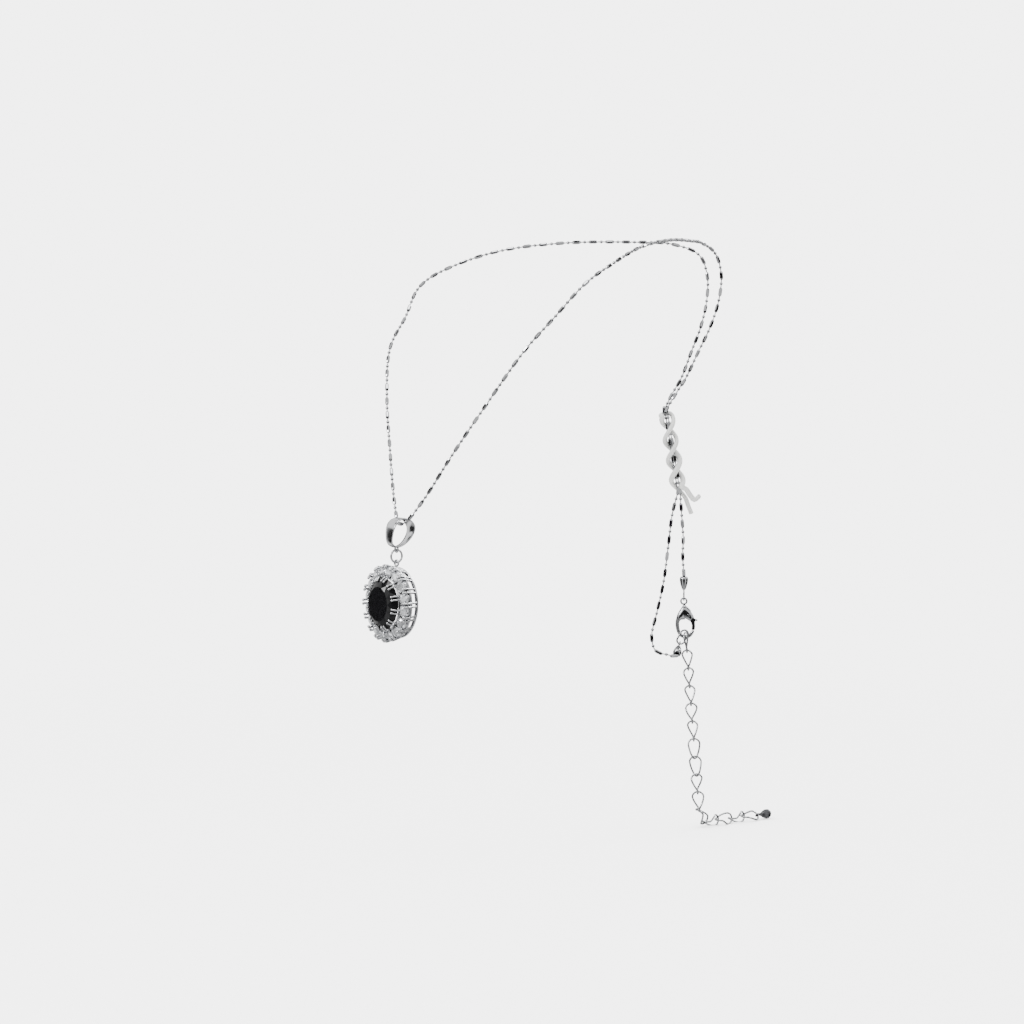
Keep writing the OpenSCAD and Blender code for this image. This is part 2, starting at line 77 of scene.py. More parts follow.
class NecklaceChain(bpy.types.PropertyGroup):
    """Bead chain, tie and bead tips"""
    bar_length: mm("Bar length", "Length of one faceted bar", 2.2)
    bar_width: mm("Bar width", "Width of a bar across its belly", 0.9)
    ball_width: mm("Ball width", "Diameter of the ball between two bars", 0.82)
    repeat: mm("Repeat", "Distance from one bar to the next", 4.0)
    wire: mm("Wire", "Diameter of the wire that joins bars and balls", 0.3)
    tie_wire: mm("Tie width", "Width of the coated tie wire", 1.3)


class NecklacePendant(bpy.types.PropertyGroup):
    """Pendant head and bail"""
    stone_width: mm("Stone width", "Width of the centre stone", 10)
    stone_height: mm("Stone height", "Height of the centre stone", 12)
    stone_crown: mm("Crown", "Height of the centre stone's crown", 1.7)
    stone_pavilion: mm("Pavilion", "Depth of the centre stone below its girdle", 3.2)
    halo_width: mm("Halo stone", "Diameter of one halo stone", 2.4)
    halo_count: IntProperty(name="Halo stones", description="Number of halo stones", default=16)
    claw_pairs: IntProperty(name="Claw pairs", description="Pairs of claws on the centre stone",
                            default=12)
    claw: mm("Claw", "Thickness of a claw", 0.42)
    head_depth: mm("Head depth", "Depth of the head behind the girdle", 4.4)
    bail_width: mm("Bail width", "Width of the bail at the top", 3.9)
    bail_foot: mm("Bail foot", "Width of the bail at the bottom", 1.7)
    bail_thickness: mm("Bail thickness", "Thickness of the bail's band", 0.35)


class NecklaceClasp(bpy.types.PropertyGroup):
    """Clasp and extender"""
    body_thickness: mm("Body", "Thickness of the clasp at the trigger", 1.8)
    link_length: mm("Link length", "Outside length of an extender link", 5.25)
    link_width: mm("Link width", "Outside width of an extender link", 3.3)
    link_wire: mm("Link wire", "Wire of the extender links", 0.45)
    charm_width: mm("Charm width", "Diameter of the drop charm", 2.36)


class NecklaceColours(bpy.types.PropertyGroup):
    """Colours of the finishes"""
    rhodium: tint("Rhodium", "Bright plating on pendant and bail", "#CDCED0")
    silver: tint("Silver", "Plating on chain, clasp and links", "#ACADAF")
    dark: tint("Dark charm", "Plating on the drop charm", "#5A5B5D")
    onyx: tint("Centre stone", "Colour of the centre stone", "#0B0B0C")
    crystal: tint("Halo stones", "Colour of the clear stones", "#F1F3F6")
    coating: tint("Tie", "Colour of the tie's plastic coat", "#A3A3A1")
    paper: tint("Floor", "Colour of the studio floor", "#F4F4F4")


def sizes(group):
    return getattr(bpy.context.scene, group)


# ---- nodes and materials ----


def fill(tree, node, inputs):
    """Gives each named input a value or links it to a socket."""
    for key, value in inputs.items():
        if isinstance(value, bpy.types.NodeSocket):
            tree.links.new(value, node.inputs[key])
        else:
            node.inputs[key].default_value = value


def add(tree, kind, inputs=None, **settings):
    """Adds a node with its settings, and fills its inputs."""
    made = tree.nodes.new(kind)
    for name, value in settings.items():
        setattr(made, name, value)
    fill(tree, made, inputs or {})
    return made


def noise(tree, where, size_mm, detail, roughness=0.5):
    """Noise whose pattern repeats about every size_mm."""
    made = add(tree, "ShaderNodeTexNoise", {"Vector": where, "Scale": 1 / (size_mm * MM),
                                            "Detail": detail, "Roughness": roughness})
    return made.outputs["Fac"]


def remap(tree, value, start, stop, low, high, **settings):
    """The value's stretch from start to stop, spread from low to high."""
    made = add(tree, "ShaderNodeMapRange", {"Value": value, "From Min": start, "From Max": stop,
                                            "To Min": low, "To Max": high}, **settings)
    return made.outputs["Result"]


def blend(tree, dark, light, share):
    """A colour between two, by share."""
    return add(tree, "ShaderNodeMix", {6: dark, 7: light, "Factor": share},
               data_type="RGBA").outputs[2]


def bump(tree, height, distance_mm, strength):
    """A normal that follows the height."""
    return add(tree, "ShaderNodeBump", {"Height": height, "Distance": distance_mm * MM,
                                        "Strength": strength}).outputs["Normal"]


def maths(tree, operation, *values):
    """One step of arithmetic on sockets or numbers."""
    return add(tree, "ShaderNodeMath", dict(enumerate(values)), operation=operation).outputs[0]


def blank(name):
    """A new node material and its tree, surface shader and object coordinates."""
    material = bpy.data.materials.new(name)
    material.use_nodes = True
    tree = material.node_tree
    tree.nodes.clear()
    shader = add(tree, "ShaderNodeBsdfPrincipled")
    add(tree, "ShaderNodeOutputMaterial", {"Surface": shader.outputs["BSDF"]})
    where = add(tree, "ShaderNodeTexCoord").outputs["Object"]
    return material, tree, shader, where


def plated_metal(name, colour, rough, wear, grain_mm, dent_mm):
    """Electroplated metal: near-mirror, with faint tumbling marks and slow changes of sheen."""
    material, tree, shader, where = blank(name)
    fine = noise(tree, where, grain_mm, 4.0, 0.6)
    tone = remap(tree, fine, 0.35, 0.65, 1 - wear, 1.0)
    sheen = remap(tree, noise(tree, where, 1.6, 3.0), 0.3, 0.7, rough * 0.6, rough * 1.6)
    fill(tree, shader, {"Metallic": 1, "Base Color": blend(tree, BLACK, colour, tone),
                        "Roughness": sheen, "Normal": bump(tree, fine, dent_mm, 0.5)})
    return material


def cut_stone(name, colour, ior, rough, bright):
    """Polished synthetic gem: glassy facets over a dark depth, with faint growth clouds."""
    material, tree, shader, where = blank(name)
    cloud = remap(tree, noise(tree, where, 1.1, 2.0), 0.3, 0.7, 1 - bright, 1.0)
    lines = remap(tree, noise(tree, where, 0.9, 1.0), 0.0, 1.0, rough * 0.5, rough * 1.5)
    fill(tree, shader, {"Base Color": blend(tree, BLACK, colour, cloud), "Roughness": lines,
                        "IOR": ior, "Specular IOR Level": 0.25})
    return material


def foiled_crystal(name, colour):
    """Clear cut stone with a mirrored back that shines like metal, with a glassy top surface; its
    facet flashes are painted reflections, bright and dark cells painted into its colour.
    """
    material, tree, shader, where = blank(name)
    # painted reflection: each cell gets a bright or dark colour, standing in for facets that catch
    # or miss the light
    facets = add(tree, "ShaderNodeTexVoronoi", {"Vector": where, "Scale": 1 / (0.55 * MM)},
                 feature="F1", distance="CHEBYCHEV")
    painted_flash = remap(tree, facets.outputs["Color"], 0.1, 0.9, 0.35, 1.0)
    fill(tree, shader, {"Base Color": blend(tree, linear("#3A3B3E"), colour, painted_flash),
                        "Metallic": 0.85, "Roughness": 0.05, "Coat Weight": 1,
                        "Coat Roughness": 0.02, "Coat IOR": 1.9})
    return material


def coated_wire(name, colour):
    """Extruded PVC coat: satin, with faint drag lines and a little grime in the twist."""
    material, tree, shader, where = blank(name)
    grime = remap(tree, noise(tree, where, 2.5, 4.0), 0.35, 0.7, 0.86, 1.0)
    skin = noise(tree, where, 0.18, 3.0)
    fill(tree, shader, {"Base Color": blend(tree, linear("#8E8F90"), colour, grime),
                        "Roughness": remap(tree, skin, 0.0, 1.0, 0.3, 0.5),
                        "Normal": bump(tree, skin, 0.02, 0.6)})
    return material


FINISHES = {
    # White and hard: the brightest metal here, hardly marked
    "rhodium_plating": (plated_metal, "rhodium", 0.12, 0.12, 0.35, 0.006),
    # Slightly greyer, with soft handling marks
    "silver_plating": (plated_metal, "silver", 0.10, 0.18, 0.30, 0.008),
    # Flat cut faces that flash one by one
    "diamond_cut_silver": (plated_metal, "silver", 0.06, 0.22, 0.45, 0.004),
    # Dark plating on the drop
    "black_nickel_plating": (plated_metal, "dark", 0.14, 0.30, 0.40, 0.010),
    # Dense black stone with a strong surface reflection
    "black_cubic_zirconia": (cut_stone, "onyx", 1.54, 0.04, 0.4),
    # Clear stone over foil, with painted reflections: bright and dark cells painted into its colour
    # stand in for facets that flash
    "foiled_crystal": (foiled_crystal, "crystal"),
    # Soft plastic sleeve on a steel core
    "pvc_coat": (coated_wire, "coating"),
}


def finish(key):
    """The named finish, made on first use."""
    make, colour, *settings = FINISHES[key]
    return (bpy.data.materials.get(key)
            or make(key, tuple(getattr(sizes("necklace_colours"), colour)), *settings))


# ---- shaping ----


class Shape:
    """Faces gathered for one piece, in millimetres."""

    def __init__(self, place=None):
        self.mesh = bmesh.new()
        self.place = place or Matrix()

    def skin(self, rings, closed=False, caps=True, smooth=True):
        """Quads between rings of equal length; a ring may be a single point repeated."""
        rows = [[self.mesh.verts.new(self.place @ Vector(p)) for p in ring] for ring in rings]
        count = len(rows[0])
        pairs = list(zip(rows, rows[1:])) + ([(rows[-1], rows[0])] if closed else [])
        for low, high in pairs:
            for k in range(count):
                face = self.mesh.faces.new((low[k], low[(k + 1) % count],
                                            high[(k + 1) % count], high[k]))
                face.smooth = smooth
        if caps and not closed:
            self.mesh.faces.new(list(reversed(rows[0])))
            self.mesh.faces.new(rows[-1])

    def lathe(self, outline, sides=32, place=Matrix(), closed=False, smooth=True):
        """Turns (radius, height) pairs about Z."""
        rings = [[place @ Vector((r * cos(TAU * k / sides), r * sin(TAU * k / sides), z))
                  for k in range(sides)] for r, z in outline]
        self.skin(rings, closed, not closed, smooth)

    def tube(self, points, radius, sides=14, closed=False):
        """A round tube along the points."""
        points = [Vector(p) for p in points]
        rings = []
        side = None
        count = len(points)
        for i, here in enumerate(points):
            before = points[i - 1] if i or closed else here
            after = points[(i + 1) % count] if i + 1 < count or closed else here
            run = (after - before).normalized()
            side = run.orthogonal() if side is None else side
            side = (side - side.dot(run) * run).normalized()
            across = run.cross(side)
            rings.append([here + radius * (cos(TAU * k / sides) * side
                                           + sin(TAU * k / sides) * across) for k in range(sides)])
        self.skin(rings, closed)

    def ball(self, centre, radius, sides=12):
        """A closed round ball."""
        steps = max(sides // 2, 3)
        outline = [(radius * max(sin(pi * k / steps), 0.02), -radius * cos(pi * k / steps))
                   for k in range(steps + 1)]
        self.lathe(outline, sides, move(centre))

    def made(self, name):
        """The gathered faces as a mesh object, in metres."""
        bmesh.ops.remove_doubles(self.mesh, verts=self.mesh.verts, dist=1e-4)
        bmesh.ops.recalc_face_normals(self.mesh, faces=self.mesh.faces)
        bmesh.ops.scale(self.mesh, vec=(MM, MM, MM), verts=self.mesh.verts)
        data = bpy.data.meshes.new(name)
        self.mesh.to_mesh(data)
        self.mesh.free()
        return in_scene(name, data)

    def solid(self, name, finish_name, body, nodes):
        """Makes the piece's object, riding on its body for its CAD nodes."""
        return declare(self.made(name), finish_name, body, nodes)


def in_scene(name, data):
    """A new object of the data, linked to the scene."""
    made = bpy.data.objects.new(name, data)
    bpy.context.scene.collection.objects.link(made)
    return made


def declare(made, finish_name, body, nodes):
    """Gives a piece its finish, body, CAD nodes and material slot."""
    if finish_name:
        made.data.materials.clear()
        made.data.materials.append(finish(finish_name))
    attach(made, body)
    if nodes:
        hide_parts(*nodes)
    return made


def ring_path(radius, steps=40):
    """A circle in the XZ plane."""
    return [(radius * sin(TAU * k / steps), 0, radius * cos(TAU * k / steps)) for k in range(steps)]


def link_path(length, width, wire, at_top=0.0, at_foot=0.0):
    """A link's centre line in the XZ plane, long along Z, twisted from its foot to its top."""
    steps = 16
    r = (width - wire) / 2
    half = (length - width) / 2
    swell = [(r * cos(pi * k / steps), half + r * sin(pi * k / steps)) for k in range(steps + 1)]
    side = [(-r, half * (1 - k / 3)) for k in (1, 2, 3, 4, 5)]
    loop = swell + side + [(-x, -z) for x, z in swell] + [(-x, -z) for x, z in side]
    path = []
    for x, z in loop:
        share = min(max(0.5 + z / (2 * half + 0.8 * r), 0), 1) if at_top or at_foot else 0
        path.append(turn("Z", at_foot + (at_top - at_foot) * share) @ Vector((x, 0, z)))
    return path


def smooth_point(a, b, c, d, t):
    """Point at t between b and c on a smooth curve through four points."""
    return 0.5 * (2 * b + (c - a) * t + (2 * a - 5 * b + 4 * c - d) * t * t
                  + (3 * b - a - 3 * c + d) * t * t * t)


def smooth_path(points, steps, closed=False):
    """A smooth curve through the points, with steps between two of them."""
    points = [Vector(p) for p in points]
    count = len(points)
    spans = count if closed else count - 1

    def at(i):
        return points[i % count] if closed else points[min(max(i, 0), count - 1)]

    path = [smooth_point(at(i - 1), at(i), at(i + 1), at(i + 2), k / steps)
            for i in range(spans) for k in range(steps)]
    return path if closed else path + [points[-1]]


def turn(axis, angle):
    """A turn in degrees about an axis."""
    return Matrix.Rotation(radians(angle), 4, axis)


def move(way):
    """A move by the vector."""
    return Matrix.Translation(way)


def curve_object(name, points):
    """A poly curve in metres, for the trees that follow a line."""
    data = bpy.data.curves.new(name, "CURVE")
    data.dimensions = "3D"
    line = data.splines.new("POLY")
    line.points.add(len(points) - 1)
    for spot, p in zip(line.points, points):
        spot.co = (*(Vector(p) * MM), 1)
    return in_scene(name, data)


def new_tree(name, inputs):
    """A geometry tree with named inputs: (name, socket type, default)."""
    tree = bpy.data.node_groups.new(name, "GeometryNodeTree")
    tree.interface.new_socket("Geometry", in_out="INPUT", socket_type="NodeSocketGeometry")
    tree.interface.new_socket("Geometry", in_out="OUTPUT", socket_type="NodeSocketGeometry")
    for label, kind, value in inputs:
        made = tree.interface.new_socket(label, in_out="INPUT", socket_type=kind)
        if value is not None:
            made.default_value = value
    return tree, add(tree, "NodeGroupInput").outputs


def end_tree(tree, parts, material):
    """Joins the parts, realizes them and sets their material."""
    joined = add(tree, "GeometryNodeJoinGeometry")
    for part in parts:
        tree.links.new(part, joined.inputs[0])
    real = add(tree, "GeometryNodeRealizeInstances", {"Geometry": joined.outputs[0]})
    coat = add(tree, "GeometryNodeSetMaterial", {"Geometry": real.outputs[0], "Material": material})
    add(tree, "NodeGroupOutput", {"Geometry": coat.outputs[0]})


def plain_mesh(made):
    """The object's mesh with its modifiers applied."""
    bpy.context.view_layer.update()
    graph = bpy.context.evaluated_depsgraph_get()
    return bpy.data.meshes.new_from_object(made.evaluated_get(graph), depsgraph=graph)


def run_tree(source, tree, values, name, helpers=()):
    """Runs the tree on the source object and returns its result as a plain mesh object."""
    modifier = source.modifiers.new(tree.name, "NODES")
    modifier.node_group = tree
    for item in tree.interface.items_tree:
        if item.item_type == "SOCKET" and item.in_out == "INPUT" and item.name in values:
            modifier[item.identifier] = values[item.name]
    data = plain_mesh(source)
    if not len(data.polygons):
        raise RuntimeError(f"{name}: the tree made no faces")
    for spare in (source, *helpers):
        bpy.data.objects.remove(spare)
    data.name = name
    return in_scene(name, data)


# ---- where things are, in millimetres, as in the CAD model ----

# The clasp's frame: Z up the clasp, X in its plane, and the hook's bend at the origin
NAPE_TO_CLASP = Vector((0, -4.9, -93.1))
CLASP_YAW = 56
BAIL_AT = Vector((0, -86, -62.9))
FIT_GAP = 0.04

TIP_LOOP_R = 0.62
TIP_WIRE = 0.36
TIP_LEN = 3.2
TIP_NECK = 1.15
SHELL_FROM = TIP_LOOP_R + TIP_WIRE / 2 - 0.1
CHAIN_IN_TIP = 1.05
CRIMP = 0.9
LINK_WIRE = 0.45

END_LINK_AT = Vector((-0.3, -0.82, 0.76))
END_LEAN = 30
END_LINK_R = 0.9
END_LINK_STRAIGHT = 1.8
TIP_SWING = 20
TIP_OUT = 55
EYE_AT = Vector((-0.43, 0, 8.6))
EYE_R = 0.7
EYE_WIRE = 0.45

CLASP = move(NAPE_TO_CLASP) @ turn("Z", CLASP_YAW)
END_FOOT = END_LINK_AT - END_LINK_STRAIGHT * Vector((sin(radians(END_LEAN)), 0,
                                                     cos(radians(END_LEAN))))
LEFT_TIP_DIR = Vector((-sin(radians(TIP_SWING)) * cos(radians(TIP_OUT)), -sin(radians(TIP_OUT)),
                       -cos(radians(TIP_SWING)) * cos(radians(TIP_OUT))))
TIP_LEFT_AT = (END_FOOT
               + END_LINK_R * Vector((-sin(radians(TIP_SWING)), 0, -cos(radians(TIP_SWING))))
               + (TIP_LOOP_R - TIP_WIRE / 2 - LINK_WIRE / 2 - FIT_GAP) * LEFT_TIP_DIR)
TIP_RIGHT_AT = EYE_AT + Vector((0, 0, EYE_R - EYE_WIRE / 2 - TIP_WIRE / 2 - FIT_GAP + TIP_LOOP_R))
LEFT_TIP = (CLASP @ move(TIP_LEFT_AT) @ turn("Y", 180 + TIP_SWING)
            @ turn("X", TIP_OUT))
RIGHT_TIP = CLASP @ move(TIP_RIGHT_AT)


def from_left_tip(z):
    return CLASP @ (TIP_LEFT_AT + (z + SHELL_FROM - 0.4) * LEFT_TIP_DIR)


def from_right_tip(z):
    return CLASP @ (TIP_RIGHT_AT + Vector((0, 0, z + SHELL_FROM - 0.4)))


def mirrored(points):
    return [(-p[0], p[1], p[2]) for p in points]


def chain_route():
    """The bead chain's line, from the crimp at the extender to the crimp at the clasp."""
    far_tail = [from_left_tip(TIP_LEN + 0.4 - CHAIN_IN_TIP), from_left_tip(TIP_LEN + 0.75),
                (2.04, -10.35, -97.25), (1.27, -11.4, -96.95), (0.07, -12.65, -96.6),
                (-0.85, -13.5, -95.75), (-1.3, -13.85, -94.2), (-1.4, -13.9, -91.6),
                (-1.3, -12.4, -86.5), (-1.2, -10.6, -79.5), (-1.1, -9.4, -71.5),
                (-0.9, -8.4, -63.8)]
    tied = [(-0.45, -7.0, -58.1), (-0.45, -7.16, -57.3), (-0.45, -7.8, -54.1),
            (-0.45, -10.2, -42.1), (-0.45, -10.84, -38.9), (-0.45, -11, -38.1),
            (-0.7, -8.4, -34.2)]
    near_side = [(0.9, -5.6, -30.5), (1.4, -2.3, -24.3), (1.9, 0.9, -18.3), (2.4, 3.0, -12),
                 (2.8, 3.4, -6), (3.4, 1.2, -1), (6, -4.6, 1.4), (10, -10.9, 1.9),
                 (20, -25.1, 1.8), (28, -38.9, 0), (33, -50.6, -4), (34, -59, -8.7),
                 (31, -65, -16), (28, -71.4, -23.8), (21, -76.5, -35.4), (13.3, -80.5, -46.7),
                 (7.5, -83.3, -55.6), (3.6, -85.0, -60.6), (1.6, -85.8, -62.5)]
    near_tail = [(0.5, -6.6, -63), (0.4, -6.0, -69), (0.1, -5.9, -73.5),
                 from_right_tip(TIP_LEN + 0.75 + TIP_NECK),
                 from_right_tip(TIP_LEN + 0.4 + TIP_NECK - CHAIN_IN_TIP)]
    return (far_tail + tied + mirrored(near_side) + [tuple(BAIL_AT)] + near_side[::-1]
            + mirrored(tied)[::-1] + near_tail)


# ---- chain, tie and tips ----


def chain_tree(bar, ball, material):
    """Bars at even steps along a line, a ball half way between two, and the wire through them."""
    tree, given = new_tree("bars and balls on a wire", [
        ("Bars", "NodeSocketInt", 100), ("Half step", "NodeSocketFloat", 0.002),
        ("Wire radius", "NodeSocketFloat", 0.0001)])
    line = given["Geometry"]
    size = add(tree, "GeometryNodeCurveLength", {"Curve": line}).outputs[0]
    whole = maths(tree, "MULTIPLY", given["Half step"], 2.0)
    fewer = maths(tree, "SUBTRACT", given["Bars"], 1.0)
    parts = []
    for margin, count, model in ((given["Half step"], given["Bars"], bar), (whole, fewer, ball)):
        end = maths(tree, "SUBTRACT", size, margin)
        inner = add(tree, "GeometryNodeTrimCurve",
                    {"Curve": line, "Start_001": margin, "End_001": end}, mode="LENGTH")
        spots = add(tree, "GeometryNodeCurveToPoints", {"Curve": inner.outputs[0], "Count": count})
        shape = add(tree, "GeometryNodeObjectInfo", {"Object": model})
        twist = add(tree, "FunctionNodeRandomValue", {2: 0.0, 3: TAU, "Seed": 7}, data_type="FLOAT")
        spin = add(tree, "ShaderNodeCombineXYZ", {"Z": twist.outputs[1]})
        put = add(tree, "GeometryNodeInstanceOnPoints",
                  {"Points": spots.outputs["Points"], "Instance": shape.outputs["Geometry"],
                   "Rotation": spots.outputs["Rotation"]})
        turned = add(tree, "GeometryNodeRotateInstances",
                     {"Instances": put.outputs[0], "Rotation": spin.outputs[0]})
        parts.append(turned.outputs[0])
    round_wire = add(tree, "GeometryNodeCurvePrimitiveCircle",
                     {"Resolution": 6, "Radius": given["Wire radius"]})
    wire = add(tree, "GeometryNodeCurveToMesh",
               {"Curve": line, "Profile Curve": round_wire.outputs[0], "Fill Caps": True})
    parts.append(wire.outputs[0])
    end_tree(tree, parts, material)
    return tree


class NECKLACE_OT_chain(bpy.types.Operator):
    """Bead chain: faceted bars and small balls on one fine wire"""
    bl_idname = "necklace.chain"
    bl_label = "Bead chain"

    def execute(self, context):
        size = sizes("necklace_chain")
        path = smooth_path(chain_route(), 6)
        length = sum((b - a).length for a, b in zip(path, path[1:]))
        half, belly = size.bar_length / MM / 2, size.bar_width / MM / 2
        bar = Shape()
        bar.lathe([(belly * 0.35, -half), (belly * 0.75, -half * 0.86), (belly, -half * 0.55),
                   (belly, half * 0.55), (belly * 0.75, half * 0.86), (belly * 0.35, half)],
                  8, smooth=False)
        ball = Shape()
        ball.ball((0, 0, 0), size.ball_width / MM / 2, 8)
        helpers = bar.made("bar"), ball.made("ball")
        step = size.repeat / MM
        bars = round(length / step)
        tree = chain_tree(*helpers, finish("diamond_cut_silver"))
        chain = run_tree(curve_object("chain line", path), tree,
                         {"Bars": bars, "Half step": length / bars / 2 * MM,
                          "Wire radius": size.wire / 2}, "bead_chain.bars_and_balls", helpers)
        declare(chain, None, "root", ["bead_chain"])
        return {"FINISHED"}


TIE_TOP = Vector((0, -10.68, -39.7))
TIE_FOOT = Vector((0, -7.28, -56.7))
TIE_TURNS = 1.75
TIE_R = 1.4
TIE_TAILS = [[(-1.1, -5.8, -58.0), (-0.5, -4.7, -59.6), (-0.6, -3.9, -61.2), (-0.5, -2.9, -63.4)],
             [(1.4, -5.9, -57.4), (1.2, -4.6, -58.8), (1.2, -3.2, -60.0), (0.9, -1.6, -59.2)]]


class NECKLACE_OT_tie(bpy.types.Operator):
    """Coated wire folded over the two strands and twisted down round them"""
    bl_idname = "necklace.tie"
    bl_label = "Twist tie"

    def execute(self, context):
        axis = (TIE_FOOT - TIE_TOP).normalized()
        u = Vector((1, 0, 0))
        v = axis.cross(u)

        def at(phase, s):
            return (TIE_TOP + s * (TIE_FOOT - TIE_TOP)
                    + TIE_R * (cos(radians(phase)) * u + sin(radians(phase)) * v))

        steps = 24
        down = [at(90 + 360 * TIE_TURNS * i / steps, i / steps) for i in range(steps + 1)]
        up = [at(270 + 360 * TIE_TURNS * i / steps, i / steps) for i in range(steps + 1)]
        over = [at(a, -0.02) for a in (120, 150, 180, 210, 240)]
        path = smooth_path(TIE_TAILS[0][::-1] + up[::-1] + over[::-1] + down + TIE_TAILS[1], 3)
        tree, given = new_tree("flat coated wire", [("Width", "NodeSocketFloat", 0.001)])
        profile = add(tree, "GeometryNodeCurvePrimitiveCircle", {"Resolution": 14, "Radius": 0.5})
        oval = add(tree, "ShaderNodeCombineXYZ",
                   {"X": given["Width"], "Y": maths(tree, "MULTIPLY", given["Width"], 0.8),
                    "Z": given["Width"]})
        shaped = add(tree, "GeometryNodeTransform",
                     {"Geometry": profile.outputs[0], "Scale": oval.outputs[0]})
        coat = add(tree, "GeometryNodeCurveToMesh",
                   {"Curve": given["Geometry"], "Profile Curve": shaped.outputs[0],
                    "Fill Caps": True})
        soft = add(tree, "GeometryNodeSetShadeSmooth", {"Geometry": coat.outputs[0]})
        end_tree(tree, [soft.outputs[0]], finish("pvc_coat"))
        tie = run_tree(curve_object("tie line", path), tree,
                       {"Width": sizes("necklace_chain").tie_wire}, "twist_tie.coated_wire")
        declare(tie, None, "root", ["twist_tie"])
        return {"FINISHED"}


def tip_shell(place, neck, name, node):
    """A clamshell tip: two cupped halves with a fold between, on a bent hook."""
    shell = Shape(place)
    base = move((0, 0, SHELL_FROM + neck))
    outer = [(0.16, 0), (0.34, 0.04), (0.52, 0.35), (0.8, 1.15), (0.98, 1.95), (1.05, 2.5),
             (0.98, 2.95), (0.78, TIP_LEN)]
    inner = [(0.56, TIP_LEN - 0.06), (0.78, 2.9), (0.88, 2.5), (0.82, 2.0), (0.64, 1.25),
             (0.36, 0.5), (0.1, 0.32)]
    outline = outer + inner
    gap, steps = 4.5, 14
    for half in (0, 180):
        rings = [[base @ Vector((r * cos(radians(a)), r * sin(radians(a)), z)) for r, z in outline]
                 for a in (half + gap + (180 - 2 * gap) * k / steps for k in range(steps + 1))]
        shell.skin(rings, False, True)
    # the hinge strip that joins the halves near the hook
    shell.lathe([(0.02, 0.02), (0.3, 0.03), (0.46, 0.32), (0.7, 1.0), (0.62, 1.0), (0.3, 0.4),
                 (0.02, 0.34)], 28, base)
    hook = [move((0, 0, neck / 2)) @ turn("Z", 90) @ Vector(p)
            for p in link_path(neck + 2 * TIP_LOOP_R + TIP_WIRE, 2 * TIP_LOOP_R + TIP_WIRE,
                               TIP_WIRE)]
    shell.tube(hook, TIP_WIRE / 2, 12, True)
    shell.solid(name, "silver_plating", "root", [node])


class NECKLACE_OT_tips(bpy.types.Operator):
    """Clamshell tips and the crimped beads inside them"""
    bl_idname = "necklace.tips"
    bl_label = "Bead tips"

    def execute(self, context):
        tip_shell(LEFT_TIP, 0, "bead_tip_left.clamshell", "bead_tip_left")
        tip_shell(RIGHT_TIP, TIP_NECK, "bead_tip_right.clamshell", "bead_tip_right")
        crimps = Shape()
        height = SHELL_FROM + TIP_LEN - CHAIN_IN_TIP - CRIMP / 2 - 0.02
        for place, rise in ((LEFT_TIP, 0), (RIGHT_TIP, TIP_NECK)):
            crimps.ball(place @ Vector((0, 0, height + rise)), CRIMP / 2, 16)
        crimps.solid("crimp_beads.pair", "silver_plating", "root", ["crimp_beads"])
        return {"FINISHED"}


# ---- bail and jump ring ----

# The eyelet under the bail, and the ring that hangs from it
EYELET_R = 0.62
EYELET_WIRE = 0.45
EYELET_AT = BAIL_AT + Vector((0, -1.1, -5.75))
RING_WIRE = 0.5
RING_R = 1.45
RING_AT = EYELET_AT + Vector((0, 0, EYELET_WIRE / 2 + RING_WIRE / 2 + FIT_GAP - EYELET_R - RING_R))
BAIL_LINE = [(-1.1, -5.2), (-2.3, -4.85), (-2.95, -4.0), (-3.0, -2.4), (-2.6, -0.6),
             (-1.6, 0.75), (0, 1.22), (1.6, 0.85), (2.65, -0.4), (2.7, -1.8), (1.9, -3.3),
             (0.5, -4.6)]


def bail_half_width(z):
    """Half the band's width at a height, from its crown to its narrow foot."""
    size = sizes("necklace_pendant")
    crown, foot = size.bail_width / MM / 2, size.bail_foot / MM / 2
    share = min(max((z + 5.2) / 5.2, 0), 1)
    return foot + (crown - foot) * (share ** 0.8) - 0.1 * max(z, 0)


class NECKLACE_OT_bail(bpy.types.Operator):
    """Leaf-shaped bail with its eyelet, and the jump ring below it"""
    bl_idname = "necklace.bail"
    bl_label = "Bail and ring"

    def execute(self, context):
        thick = sizes("necklace_pendant").bail_thickness / MM / 2
        line = smooth_path([(0, y, z) for y, z in BAIL_LINE], 8, True)
        bail = Shape(move(BAIL_AT))
        rings = []
        for i, here in enumerate(line):
            run = (line[(i + 1) % len(line)] - line[i - 1]).normalized()
            out = Vector((0, -run.z, run.y))
            wide = bail_half_width(here.z)
            dome = 0.1
            section = []
            for x, lift in ((-1, -0.55), (-1, 0.45), (-0.93, 0.9), (-0.6, 1.0 + dome),
                            (0, 1.0 + 2 * dome), (0.6, 1.0 + dome), (0.93, 0.9), (1, 0.45),
                            (1, -0.55), (0.93, -0.95), (0, -1.0), (-0.93, -0.95)):
                section.append(here + Vector((x * wide, 0, 0)) + lift * thick * out)
            rings.append(section)
        bail.skin(rings, True)
        foot = EYELET_AT - BAIL_AT
        bail.tube([foot + Vector(p) for p in ring_path(EYELET_R)], EYELET_WIRE / 2, 14, True)
        bail.solid("bail.leaf_band", "rhodium_plating", "bail", ["bail"])
        ring = Shape(move(RING_AT) @ turn("Z", 90))
        ring.tube(ring_path(RING_R, 48), RING_WIRE / 2, 16, True)
        ring.solid("jump_ring.wire", "rhodium_plating", "jump_ring", ["jump_ring"])
        return {"FINISHED"}


# ---- pendant ----

